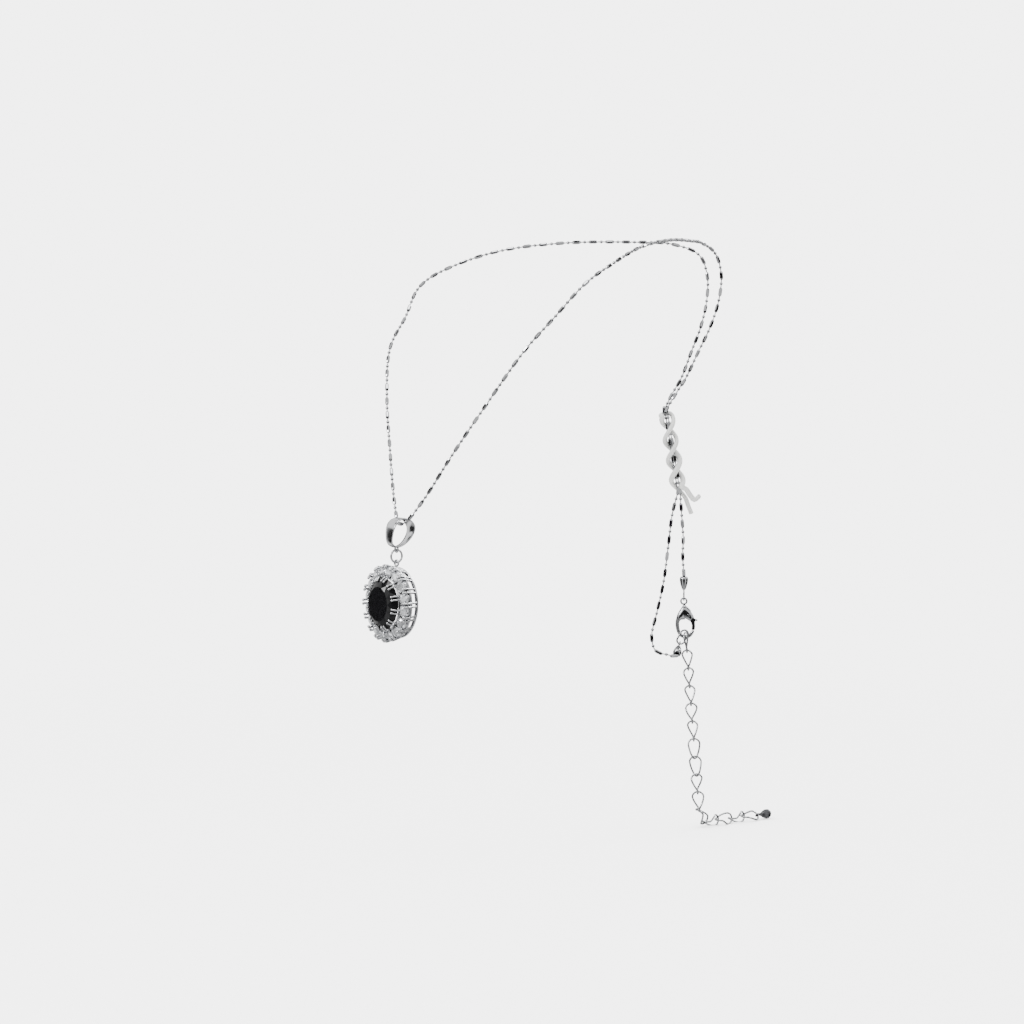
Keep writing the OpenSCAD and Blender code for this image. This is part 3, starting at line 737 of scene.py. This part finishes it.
LOOP_R = 0.65
LOOP_WIRE = 0.45
LOOP_AT = RING_AT + Vector((0, 0, RING_WIRE / 2 + LOOP_WIRE / 2 + FIT_GAP - RING_R - LOOP_R))
HEAD_FORWARD = 3.9
HEAD_DOWN = 9.05
PENDANT_TURN = 8
HEAD = (move(LOOP_AT) @ turn("Z", PENDANT_TURN)
        @ move((0, -HEAD_FORWARD, -HEAD_DOWN)))
# The halo's middle line outside the centre stone, and the gallery wires outside that
HALO_OUT = 1.48
POST_OUT = 1.2
HALO_Y = 0.8
HALO_TILT = 20
SEAT_Y = 1.85
WIRE_PAIR_HALF = 0.42
GALLERY_TAPER = 0.9
CLAW_PAIR_HALF = 0.4


def oval(rx, rz, angle):
    """A point on the oval, in the pendant's plane."""
    return Vector((rx * sin(radians(angle)), 0, rz * cos(radians(angle))))


def oval_out(rx, rz, angle):
    """The outward direction there."""
    return Vector((sin(radians(angle)) / rx, 0, cos(radians(angle)) / rz)).normalized()


def girdle():
    """Half the width and half the height of the centre stone."""
    size = sizes("necklace_pendant")
    return size.stone_width / MM / 2, size.stone_height / MM / 2


def oval_band(shape, rx, rz, section, sides=96):
    """A band round an oval: section holds (outwards, y) pairs about the oval rx by rz."""
    rings = [[oval(rx, rz, 360 * k / sides) + out * oval_out(rx, rz, 360 * k / sides)
              + Vector((0, y, 0)) for out, y in section] for k in range(sides)]
    shape.skin(rings, True)


class NECKLACE_OT_gallery(bpy.types.Operator):
    """Halo seat, base ring, gallery wires with beaded ends, and the pendant's loop"""
    bl_idname = "necklace.gallery"
    bl_label = "Halo gallery"

    def execute(self, context):
        size = sizes("necklace_pendant")
        rx, rz = girdle()
        hx, hz = rx + HALO_OUT, rz + HALO_OUT
        px, pz = hx + POST_OUT, hz + POST_OUT
        depth = size.head_depth / MM
        wire_r = size.claw / MM / 2 + 0.06
        gallery = Shape(HEAD)
        oval_band(gallery, hx, hz, [(-0.86, SEAT_Y), (-0.8, SEAT_Y - 0.06), (0.9, SEAT_Y - 0.06),
                                    (1.05, SEAT_Y), (1.1, SEAT_Y + 0.2), (1.05, SEAT_Y + 0.4),
                                    (-0.8, SEAT_Y + 0.46), (-0.86, SEAT_Y + 0.4)])
        oval_band(gallery, px - 0.98, pz - 0.98, [(-0.42, depth - 0.34), (-0.36, depth - 0.42),
                                                  (0.36, depth - 0.42), (0.43, depth - 0.34),
                                                  (0.43, depth - 0.06), (0.36, depth),
                                                  (-0.36, depth), (-0.42, depth - 0.06)])
        for i in range(size.halo_count):
            angle = 360 * i / size.halo_count
            out = oval_out(hx, hz, angle)
            for side in (-1, 1):
                along = side * WIRE_PAIR_HALF * Vector((out.z, 0, -out.x))
                top = oval(px, pz, angle) + along
                foot = oval(px - GALLERY_TAPER, pz - GALLERY_TAPER, angle) + along
                tip = top - 0.4 * out
                wire = smooth_path([foot + Vector((0, depth - 0.1, 0)),
                                    foot * 0.35 + top * 0.65 + Vector((0, 2.0, 0)),
                                    top + Vector((0, 0.75, 0)),
                                    top - 0.06 * out + Vector((0, 0.4, 0)),
                                    tip + Vector((0, 0.15, 0))], 4)
                gallery.tube(wire, wire_r, 10)
                gallery.ball(tip + Vector((0, 0.12, 0)), wire_r + 0.08, 12)
            self.cup(gallery, hx, hz, angle + 180 / size.halo_count, size.halo_width / MM / 2)
        loop = Vector((0, HEAD_FORWARD, HEAD_DOWN))
        gallery.tube([loop + Vector(p) for p in ring_path(LOOP_R)], LOOP_WIRE / 2, 14, True)
        gallery.tube([Vector((0, HEAD_FORWARD, pz - 0.8)),
                      Vector((0, HEAD_FORWARD, HEAD_DOWN - LOOP_R))], 0.3, 14)
        gallery.solid("halo_gallery.cast_frame", "rhodium_plating", "pendant", ["halo_gallery"])
        return {"FINISHED"}

    def cup(self, gallery, hx, hz, angle, stone):
        """The thin collar that holds one halo stone above the seat."""
        place = move(HEAD @ (oval(hx, hz, angle) + Vector((0, HALO_Y, 0))))
        lean = facing_out(oval_out(hx, hz, angle)) @ turn("X", -HALO_TILT) @ turn("X", -90)
        gallery.place, kept = Matrix(), gallery.place
        gallery.lathe([(stone + 0.02, -0.16), (stone + 0.1, -0.1), (stone + 0.1, 0.14),
                       (stone - 0.12, 1.15), (stone - 0.24, 1.15), (stone - 0.08, 0.3)],
                      20, place @ HEAD.to_3x3().to_4x4() @ lean, True)
        gallery.place = kept


def claw_tree(material):
    """One model at each point of a mesh, turned by the point's stored angle."""
    tree, given = new_tree("claws round the girdle", [("Claw", "NodeSocketObject", None)])
    shape = add(tree, "GeometryNodeObjectInfo", {"Object": given["Claw"]})
    angle = add(tree, "GeometryNodeInputNamedAttribute", {"Name": "facing"},
                data_type="FLOAT_VECTOR")
    put = add(tree, "GeometryNodeInstanceOnPoints",
              {"Points": given["Geometry"], "Instance": shape.outputs["Geometry"],
               "Rotation": angle.outputs["Attribute"]})
    end_tree(tree, [put.outputs[0]], material)
    return tree


def repeated(model, spots, material, name, place):
    """Puts the model at each (point, rotation matrix) and returns one mesh object, in place."""
    data = bpy.data.meshes.new("spots")
    data.from_pydata([(place @ p) * MM for p, _ in spots], [], [])
    facing = data.attributes.new("facing", "FLOAT_VECTOR", "POINT")
    for i, (_, rotation) in enumerate(spots):
        facing.data[i].vector = (place @ rotation).to_euler()
    return run_tree(in_scene("spots", data), claw_tree(material), {"Claw": model}, name, (model,))


def facing_out(out):
    """Turns a model whose outward side is +Z to face out in the pendant's plane."""
    return turn("Y", degrees(atan2(out.x, out.z)))


class NECKLACE_OT_head(bpy.types.Operator):
    """Centre head: bearing ring and paired claws with ball tips"""
    bl_idname = "necklace.head"
    bl_label = "Centre head"

    def execute(self, context):
        size = sizes("necklace_pendant")
        rx, rz = girdle()
        claw = size.claw / MM / 2
        model = Shape()
        for side in (-CLAW_PAIR_HALF, CLAW_PAIR_HALF):
            wire = smooth_path([(side, 2.6, claw), (side, 0.6, claw), (side, -0.35, claw * 0.9),
                                (side, -0.85, -0.2), (side, -1.18, -0.6)], 4)
            model.tube(wire, claw * 0.92, 10)
            model.ball((side, -1.2, -0.62), claw + 0.07, 12)
        spots = []
        for i in range(size.claw_pairs):
            angle = 360 * (i + 0.5) / size.claw_pairs
            out = oval_out(rx, rz, angle)
            spots.append((oval(rx, rz, angle), facing_out(out)))
        head = repeated(model.made("claw pair"), spots, finish("rhodium_plating"),
                        "centre_head.claws", HEAD)
        declare(head, None, "pendant", ["centre_head"])
        bearing = Shape(HEAD)
        oval_band(bearing, rx, rz, [(-0.3, 2.32), (-0.26, 2.28), (0.5, 2.28), (0.58, 2.36),
                                    (0.58, 2.72), (0.5, 2.8), (-0.26, 2.8), (-0.3, 2.76)])
        # the thin wall under the girdle that closes the head
        oval_band(bearing, rx, rz, [(0.03, 0.14), (0.14, 0.1), (0.36, 2.3), (0.2, 2.3)])
        bearing.solid("centre_head.bearing_ring", "rhodium_plating", "pendant", [])
        return {"FINISHED"}


def faceted_crown(shape, rx, rz, crown, pavilion, sides):
    """An oval cut: table, star and kite facets on the crown, and a fan of pavilion facets."""
    def ring(k, y, shift):
        return [Vector((rx * k * sin(TAU * (i + shift) / sides), y,
                        rz * k * cos(TAU * (i + shift) / sides))) for i in range(sides)]

    levels = [(0.66, -crown, 0), (0.84, -crown * 0.66, 0.5), (0.995, -0.15, 0), (1.0, -0.05, 0.5),
              (1.0, 0.1, 0.5), (0.66, pavilion * 0.52, 0), (0.3, pavilion * 0.82, 0.5)]
    rows = [[shape.mesh.verts.new(shape.place @ p) for p in ring(*level)] for level in levels]
    shape.mesh.faces.new(rows[0])
    cuts = [(row, shift) for row, (_, _, shift) in zip(rows, levels)]
    for (upper, a), (lower, b) in zip(cuts, cuts[1:]):
        for i in range(sides):
            j = (i + 1) % sides
            if a == b:
                shape.mesh.faces.new((upper[i], lower[i], lower[j], upper[j]))
            elif a < b:
                shape.mesh.faces.new((upper[i], lower[i], upper[j]))
                shape.mesh.faces.new((lower[i], lower[j], upper[j]))
            else:
                shape.mesh.faces.new((upper[i], lower[i], lower[j]))
                shape.mesh.faces.new((upper[i], lower[j], upper[j]))
    culet = shape.mesh.verts.new(shape.place @ Vector((0, pavilion, 0)))
    for i in range(sides):
        shape.mesh.faces.new((rows[-1][i], culet, rows[-1][(i + 1) % sides]))


class NECKLACE_OT_stones(bpy.types.Operator):
    """Black centre stone and the ring of clear halo stones"""
    bl_idname = "necklace.stones"
    bl_label = "Stones"

    def execute(self, context):
        size = sizes("necklace_pendant")
        rx, rz = girdle()
        centre = Shape(HEAD)
        faceted_crown(centre, rx, rz, size.stone_crown / MM, size.stone_pavilion / MM, 16)
        centre.solid("centre_stone.oval_cut", "black_cubic_zirconia", "pendant", ["centre_stone"])
        half = size.halo_width / MM / 2
        model = Shape()
        faceted_crown(model, half, half, half * 0.36, half * 0.84, 8)
        hx, hz = rx + HALO_OUT, rz + HALO_OUT
        spots = []
        for i in range(size.halo_count):
            angle = 360 * (i + 0.5) / size.halo_count
            out = oval_out(hx, hz, angle)
            spots.append((oval(hx, hz, angle) + Vector((0, HALO_Y, 0)),
                          facing_out(out) @ turn("X", -HALO_TILT)))
        halo = repeated(model.made("brilliant"), spots, finish("foiled_crystal"),
                        "halo_stones.brilliants", HEAD)
        declare(halo, None, "pendant", ["halo_stones"])
        return {"FINISHED"}


# ---- clasp ----

# Outer and inner edge of the clasp's body and its half thickness, from the hook's tip
# round the bottom and over the top to the cheeks that hold the pin
CLASP_RIBS = [((2.08, 1.5), (1.36, 1.5), 0.36), ((2.02, 1.0), (1.22, 1.2), 0.44),
              ((1.25, -0.08), (0.75, 0.65), 0.45), ((0, -0.45), (0, 0.45), 0.45),
              ((-1.2, -0.08), (-0.75, 0.65), 0.45), ((-2.0, 0.95), (-1.25, 1.4), 0.46),
              ((-2.42, 2.5), (-1.5, 2.5), 0.52), ((-2.4, 3.9), (-1.52, 3.35), 0.72),
              ((-1.95, 5.5), (-1.2, 3.98), 0.88), ((-1.1, 6.9), (-0.7, 4.1), 0.88),
              ((-0.45, 7.75), (-0.2, 4.13), 0.8), ((0.25, 7.45), (0.25, 3.98), 0.84),
              ((1.3, 6.3), (0.75, 3.75), 0.88), ((2.0, 5.0), (1.2, 3.5), 0.84),
              ((2.2, 4.5), (1.5, 3.9), 0.7)]
PIN_AT = (0.7, 5.15)
PIN_D = 0.5
TRIGGER_LINE = [(0.2, 5.55), (1.0, 5.85), (1.75, 5.35), (2.15, 4.45), (2.85, 4.15), (2.8, 3.8),
                (2.3, 3.75), (2.3, 2.6), (2.2, 1.72), (1.5, 1.72), (1.5, 2.8), (1.0, 3.9),
                (0.3, 4.6)]
TRIGGER_HALF = 0.36
SLOT_HALF = 0.44
SLOT = [(-0.15, 3), (-0.15, 5.6), (0.5, 6.05), (1.5, 6.2), (4, 5.4), (4, 3)]
GATE_ROOM = [(1.1, 1.52), (4, 1.52), (4, 4.5), (1.55, 4.5), (0.6, 3.2)]


def plate(shape, outline, half, soften=0.0):
    """A flat outline in the XZ plane, thick each way from its middle, with softened edges."""
    points = [Vector((x, 0, z)) for x, z in outline]
    count = len(points)
    inset = []
    for i, here in enumerate(points):
        run = (points[(i + 1) % count] - points[i - 1]).normalized()
        inset.append(here - soften * Vector((-run.z, 0, run.x)))
    levels = [(inset, -half), (points, soften - half), (points, half - soften), (inset, half)]
    shape.skin([[p + Vector((0, y, 0)) for p in ring] for ring, y in levels], smooth=bool(soften))


def cut_away(made, cutters):
    """Cuts the helper objects out of the piece and leaves a plain mesh."""
    for cutter in cutters:
        cut = made.modifiers.new("cut", "BOOLEAN")
        cut.operation = "DIFFERENCE"
        cut.solver = "EXACT"
        cut.object = cutter
    data = plain_mesh(made)
    made.modifiers.clear()
    made.data = data
    for cutter in cutters:
        bpy.data.objects.remove(cutter)


def clasp_cutter(outline, half):
    """A plate in the clasp's frame that cuts a slot."""
    shape = Shape(CLASP)
    plate(shape, outline, half)
    return shape.made("cutter")


def pin_rod(shape, radius, half, y=0.0, sides=24):
    """A rod along Y through the pin's place."""
    shape.lathe([(radius * 0.8, -half), (radius, 0.06 - half), (radius, half - 0.06),
                 (radius * 0.8, half)], sides, move((PIN_AT[0], y, PIN_AT[1])) @ turn("X", 90))


class NECKLACE_OT_clasp(bpy.types.Operator):
    """Lobster clasp: body with its eye, trigger, pin and spring"""
    bl_idname = "necklace.clasp"
    bl_label = "Lobster clasp"

    def execute(self, context):
        ribs = smooth_path([(*outer, 0) for outer, _, _ in CLASP_RIBS], 4)
        inner = smooth_path([(*edge, 0) for _, edge, _ in CLASP_RIBS], 4)
        half = smooth_path([(thick, 0, 0) for _, _, thick in CLASP_RIBS], 4)
        body = Shape(CLASP)
        sides = 24
        rings = []
        for far, near, thick in zip(ribs, inner, half):
            mid = (far + near) / 2
            reach = (far - near) / 2
            rings.append([Vector((mid.x + reach.x * cos(TAU * k / sides),
                                  thick.x * sin(TAU * k / sides),
                                  mid.y + reach.y * cos(TAU * k / sides)))
                          for k in range(sides)])
        body.skin(rings)
        bore = Shape(CLASP)
        pin_rod(bore, PIN_D / 2, 2)
        body_made = body.solid("clasp_body.cast_hook", "silver_plating", "clasp", ["clasp_body"])
        cut_away(body_made, [clasp_cutter(SLOT, SLOT_HALF), clasp_cutter(GATE_ROOM, 3),
                             bore.made("cutter")])
        eye = Shape(CLASP)
        eye.tube([EYE_AT + Vector(p) for p in ring_path(EYE_R)], EYE_WIRE / 2, 14, True)
        eye.solid("clasp_body.eye", "silver_plating", "clasp", [])
        trigger = Shape(CLASP)
        line = smooth_path([(x, z, 0) for x, z in TRIGGER_LINE], 4, True)
        plate(trigger, [(p.x, p.y) for p in line], TRIGGER_HALF, 0.1)
        trigger_made = trigger.solid("clasp_trigger.lever", "silver_plating", "trigger",
                                     ["clasp_trigger"])
        hole, recess = Shape(CLASP), Shape(CLASP)
        pin_rod(hole, PIN_D / 2 + 0.03, 2)
        pin_rod(recess, 0.6, 0.36, TRIGGER_HALF)
        cut_away(trigger_made, [hole.made("cutter"), recess.made("cutter")])
        pin = Shape(CLASP)
        pin_rod(pin, PIN_D / 2, sizes("necklace_clasp").body_thickness / MM / 2)
        pin.solid("trigger_pin.rivet", "silver_plating", "clasp", ["trigger_pin"])
        spring = Shape(CLASP)
        steps, turns, r = 48, 2, PIN_D / 2 + 0.14
        spring.tube([(PIN_AT[0] + r * cos(TAU * turns * i / steps), 0.08 + 0.26 * i / steps,
                      PIN_AT[1] + r * sin(TAU * turns * i / steps)) for i in range(steps + 1)],
                    0.055, 8)
        spring.solid("trigger_spring.coil", "silver_plating", "clasp", ["trigger_spring"])
        return {"FINISHED"}


# ---- extender ----

HANG_TILT = 4.5
HANG_LINKS = 10
# Turn of each hanging link's plane, then of its top and foot, which the visible twist needs
HANG_TURN = [-25, -35, -45, -45, -45, -45, -45, -45, -32, -18]
TOP_TURN = [0, 30, 25, 30, 5, 30, 5, 10, 15, 10]
FOOT_TURN = [0, 90, 90, 90, 90, 90, 55, 60, 90, 85]
FIRST_TOP = 0.78 + LINK_WIRE / 2
SLANT = Vector((-0.25, 0.67, -0.7))
LYING_HEADING = [6, 3, 7, 3]
LYING_FIRST = Vector((0.79, 0.25, -138.44))
LYING_GAP = LINK_WIRE + 0.06
LYING_TWIST = 42
CHARM_TURN = 5
CHARM_LOOP_R = 0.5
CHARM_LOOP_WIRE = 0.32


def heading(angle):
    """The direction of a link lying on the table."""
    return Vector((-sin(radians(angle)), cos(radians(angle)), 0))


def link_from(start, run, across, reach):
    """Frame of a link whose end wire starts at the point and which runs along the direction."""
    z = -run.normalized()
    x = (across - across.dot(z) * z).normalized()
    y = z.cross(x)
    mid = start - z * reach / 2
    turned = Matrix((x, y, z)).transposed().to_4x4()
    return move(mid) @ turned


def link_places(length):
    """Each extender link's frame, in order from the clasp, and the end of the last one."""
    reach = length - LINK_WIRE
    pitch = length - 2 * LINK_WIRE - FIT_GAP
    hang = CLASP @ move((0, 0, FIRST_TOP)) @ turn("Y", -HANG_TILT)
    places = []
    for i in range(HANG_LINKS):
        places.append(hang @ move((0, 0, LINK_WIRE / 2 - length / 2 - pitch * i))
                      @ turn("Z", 90 * ((i + 1) % 2) + HANG_TURN[i]))
    foot = hang @ Vector((0, 0, -(reach + pitch * (HANG_LINKS - 1))))
    yaw = radians(CLASP_YAW + HANG_TURN[-1])
    places.append(link_from(foot - 0.6 * SLANT, SLANT, Vector((sin(yaw), -cos(yaw), 0)), reach))
    start = LYING_FIRST
    for k, angle in enumerate(LYING_HEADING):
        if k:
            start = start + reach * heading(LYING_HEADING[k - 1]) - LYING_GAP * heading(angle)
        across = Vector((1, 0, 1 if k % 2 == 0 else -1))
        places.append(link_from(start, heading(angle), across, reach))
    return places, start + reach * heading(LYING_HEADING[-1])


def link_twist(i):
    """Turn of a link's top and foot from its middle plane; a hanging link's top faces its side."""
    if i > HANG_LINKS:
        foot = 0 if i == HANG_LINKS + len(LYING_HEADING) + 1 else LYING_TWIST
        return (LYING_TWIST, -foot) if i % 2 else (-LYING_TWIST, foot)
    if i == 1:
        return 0, 25
    plane = 90 * (i % 2) + HANG_TURN[i - 1]
    hand = 1 if plane > 0 else -1
    return hand * TOP_TURN[i - 1] - plane, hand * FOOT_TURN[i - 1] - plane


class NECKLACE_OT_links(bpy.types.Operator):
    """Extender links and the oval end link"""
    bl_idname = "necklace.links"
    bl_label = "Extender links"

    def execute(self, context):
        size = sizes("necklace_clasp")
        length, width = size.link_length / MM, size.link_width / MM
        wire = size.link_wire / MM
        end = Shape(CLASP @ move((END_LINK_AT + END_FOOT) / 2) @ turn("Y", END_LEAN))
        end.tube(link_path(END_LINK_STRAIGHT + 2 * END_LINK_R + LINK_WIRE,
                           2 * END_LINK_R + LINK_WIRE, LINK_WIRE), wire / 2, 14, True)
        end.solid("end_link.wire", "silver_plating", "end_link", ["end_link"])
        for i, place in enumerate(link_places(length)[0], 1):
            link = Shape(place)
            link.tube(link_path(length, width, wire, *link_twist(i)), wire / 2, 14, True)
            link.solid(f"extender_link_{i:02d}.wire", "silver_plating", f"link_{i:02d}",
                       [f"extender_link_{i:02d}"])
        return {"FINISHED"}


class NECKLACE_OT_charm(bpy.types.Operator):
    """Ribbed drop on its small ring"""
    bl_idname = "necklace.charm"
    bl_label = "Drop charm"

    def execute(self, context):
        size = sizes("necklace_clasp")
        last = link_places(size.link_length / MM)[1]
        hold = CHARM_LOOP_R - CHARM_LOOP_WIRE / 2 - LINK_WIRE / 2 - 0.06
        at = last + hold * heading(CHARM_TURN)
        place = move(at) @ turn("Z", CHARM_TURN) @ turn("X", -90) @ turn("Z", -45)
        charm = Shape(place)
        charm.tube(ring_path(CHARM_LOOP_R, 32), CHARM_LOOP_WIRE / 2, 12, True)
        outline = smooth_path([(0.02, 0.5, 0), (0.2, 0.55, 0), (0.45, 1.15, 0), (0.85, 1.9, 0),
                               (1.1, 2.6, 0), (1.18, 3.1, 0), (1.06, 3.6, 0), (0.75, 3.95, 0),
                               (0.35, 4.1, 0), (0.02, 4.1, 0)], 4)
        ribs, sides = 10, 60
        swell = size.charm_width / MM / 2 / 1.18
        rings = []
        for r, z, _ in outline:
            flute = 0.07 * min(r, 1)
            spread = [r * swell - flute * (1 - abs(cos(ribs * TAU * k / sides / 2)))
                      for k in range(sides)]
            rings.append([Vector((out * cos(TAU * k / sides), out * sin(TAU * k / sides), z))
                          for k, out in enumerate(spread)])
        charm.skin(rings)
        charm.solid("drop_charm.ribbed_drop", "black_nickel_plating", "charm", ["drop_charm"])
        return {"FINISHED"}


# ---- studio ----

CAMERA_AT = Vector((656.74, -498.39, -12.78))
CAMERA_AZIMUTH = 56
CAMERA_ELEVATION = 3.5
TABLE_Z = -139.7
TABLE_RADIUS = 480
ROOM_CENTRE = Vector((0, -45, -70))
WALLS = 4
BACKDROP_LIGHT = 5.4
CEILING_LIGHT = 1.7
GAP_LIGHT = 1.5
WALL_LIGHT = 0.03
FLOOR_LIGHT = 0.8


def outwards(azimuth, elevation):
    """The direction out of the room's middle; azimuth 0 is the front."""
    a, e = radians(azimuth), radians(elevation)
    return Vector((sin(a) * cos(e), -cos(a) * cos(e), sin(e)))


class NECKLACE_OT_stage(bpy.types.Operator):
    """Camera, pale table, soft lights and the room that the metal reflects"""
    bl_idname = "necklace.stage"
    bl_label = "Studio"

    def execute(self, context):
        scene = bpy.context.scene
        lens = bpy.data.cameras.new("camera")
        lens.lens = 120
        lens.sensor_width = 36
        lens.clip_start = 0.01
        lens.clip_end = 50
        scene.camera = in_scene("camera", lens)
        scene.camera.location = CAMERA_AT * MM
        back = outwards(CAMERA_AZIMUTH, CAMERA_ELEVATION)
        scene.camera.rotation_euler = back.to_track_quat("Z", "Y").to_euler()
        self.table()
        self.lights()
        self.room()
        return {"FINISHED"}

    def table(self):
        """A round sheet of white paper under the tail, whose rim fades into the backdrop."""
        sides = 96
        sheet = Shape()
        sheet.skin([[(r * cos(TAU * k / sides), r * sin(TAU * k / sides), TABLE_Z)
                     for k in range(sides)] for r in (TABLE_RADIUS, 0.01)], False, False)
        material, tree, shader, where = blank("matt_paper")
        colour = tuple(sizes("necklace_colours").paper)
        shadow = tuple(0.97 * c for c in colour[:3]) + (1,)
        flat = add(tree, "ShaderNodeVectorMath", {0: where, 1: (1, 1, 0)}, operation="MULTIPLY")
        far = add(tree, "ShaderNodeVectorMath", {0: flat.outputs[0]}, operation="LENGTH")
        rim = remap(tree, far.outputs["Value"], TABLE_RADIUS * 0.3 * MM, TABLE_RADIUS * 0.98 * MM,
                    1.0, 0.0, interpolation_type="SMOOTHSTEP")
        fill(tree, shader, {"Base Color": blend(tree, shadow, colour, noise(tree, where, 3, 5.0)),
                            "Alpha": rim, "Roughness": 0.9})
        made = sheet.made("table")
        made.data.materials.append(material)
        made.visible_glossy = False

    def lights(self):
        """Three softboxes: from above, from the camera's left, and a weak one from behind."""
        for name, azimuth, elevation, distance, size, power in (
                ("top softbox", 20, 75, 900, 450, 5),
                ("left softbox", -5, 30, 900, 260, 5),
                ("rear softbox", 190, 35, 1000, 260, 4)):
            away = outwards(azimuth, elevation)
            lamp = bpy.data.lights.new(name, "AREA")
            lamp.shape = "SQUARE"
            lamp.size = size * MM
            lamp.energy = power
            made = in_scene(name, lamp)
            made.location = (ROOM_CENTRE + away * distance) * MM
            made.rotation_euler = away.to_track_quat("Z", "Y").to_euler()

    def room(self):
        """White backdrop and soft light; the metal sees a dark studio with bright gaps in it."""
        world = bpy.data.worlds.new("studio room")
        bpy.context.scene.world = world
        world.use_nodes = True
        tree = world.node_tree
        tree.nodes.clear()
        way = add(tree, "ShaderNodeTexCoord").outputs["Generated"]
        split = add(tree, "ShaderNodeSeparateXYZ", {"Vector": way})
        angle = maths(tree, "ARCTAN2", split.outputs["X"],
                      maths(tree, "MULTIPLY", split.outputs["Y"], -1.0))
        turned = maths(tree, "SUBTRACT", angle, radians(CAMERA_AZIMUTH))
        wave = maths(tree, "COSINE", maths(tree, "MULTIPLY", turned, WALLS))
        # dark walls opposite each other, with bright gaps between them
        gaps = remap(tree, wave, -1.0, -0.1, GAP_LIGHT, WALL_LIGHT, interpolation_type="SMOOTHSTEP")
        # a hung softbox above the walls, a dark rim over it and a white ceiling
        height = add(tree, "ShaderNodeValToRGB", {"Fac": split.outputs["Z"]})
        ramp = height.color_ramp
        ramp.interpolation = "EASE"
        ramp.elements[0].position, ramp.elements[0].color = 0.22, BLACK
        ramp.elements[1].position, ramp.elements[1].color = 0.34, (1, 1, 1, 1)
        for spot, level in ((0.55, 1.0), (0.62, 0.06), (0.72, 0.06), (0.8, 1.0)):
            made = ramp.elements.new(spot)
            made.color = (level, level, level, 1)
        above = maths(tree, "MULTIPLY", height.outputs[0], CEILING_LIGHT)
        below = remap(tree, split.outputs["Z"], -0.25, -0.85, 0.0, FLOOR_LIGHT,
                      interpolation_type="SMOOTHSTEP")
        reflected = maths(tree, "MAXIMUM", maths(tree, "MAXIMUM", gaps, below), above)
        soft = remap(tree, split.outputs["Z"], -0.2, 0.6, 0.5, 5.6)
        seen = add(tree, "ShaderNodeLightPath")
        mirror = add(tree, "ShaderNodeMix", {"Factor": seen.outputs["Is Glossy Ray"], 2: soft,
                                             3: reflected}, data_type="FLOAT")
        shot = add(tree, "ShaderNodeMix", {"Factor": seen.outputs["Is Camera Ray"],
                                           2: mirror.outputs[0], 3: BACKDROP_LIGHT},
                   data_type="FLOAT")
        glow = add(tree, "ShaderNodeBackground", {"Color": linear("#FAFAFA"),
                                                  "Strength": shot.outputs[0]})
        add(tree, "ShaderNodeOutputWorld", {"Surface": glow.outputs[0]})


class NECKLACE_PT_sidebar(bpy.types.Panel):
    """Sizes, colours and the steps that build the necklace"""
    bl_idname = "NECKLACE_PT_sidebar"
    bl_label = "Pendant necklace"
    bl_space_type = "VIEW_3D"
    bl_region_type = "UI"
    bl_category = "Necklace"

    def draw(self, context):
        for group in GROUPS:
            column = self.layout.column(align=True)
            for name in GROUPS[group].__annotations__:
                column.prop(sizes(group), name)
        for step in STEPS:
            self.layout.operator(step.bl_idname)


GROUPS = {"necklace_chain": NecklaceChain, "necklace_pendant": NecklacePendant,
          "necklace_clasp": NecklaceClasp, "necklace_colours": NecklaceColours}
STEPS = [NECKLACE_OT_stage, NECKLACE_OT_chain, NECKLACE_OT_tie, NECKLACE_OT_tips, NECKLACE_OT_bail,
         NECKLACE_OT_gallery, NECKLACE_OT_head, NECKLACE_OT_stones, NECKLACE_OT_clasp,
         NECKLACE_OT_links, NECKLACE_OT_charm]


def register():
    for kind in [*GROUPS.values(), *STEPS, NECKLACE_PT_sidebar]:
        bpy.utils.register_class(kind)
    for name, kind in GROUPS.items():
        setattr(bpy.types.Scene, name, PointerProperty(type=kind))


def unregister():
    for name in GROUPS:
        delattr(bpy.types.Scene, name)
    for kind in reversed([*GROUPS.values(), *STEPS, NECKLACE_PT_sidebar]):
        bpy.utils.unregister_class(kind)


def main():
    register()
    for step in STEPS:
        family, name = step.bl_idname.split(".")
        getattr(getattr(bpy.ops, family), name)()


if __name__ == "__main__":
    main()
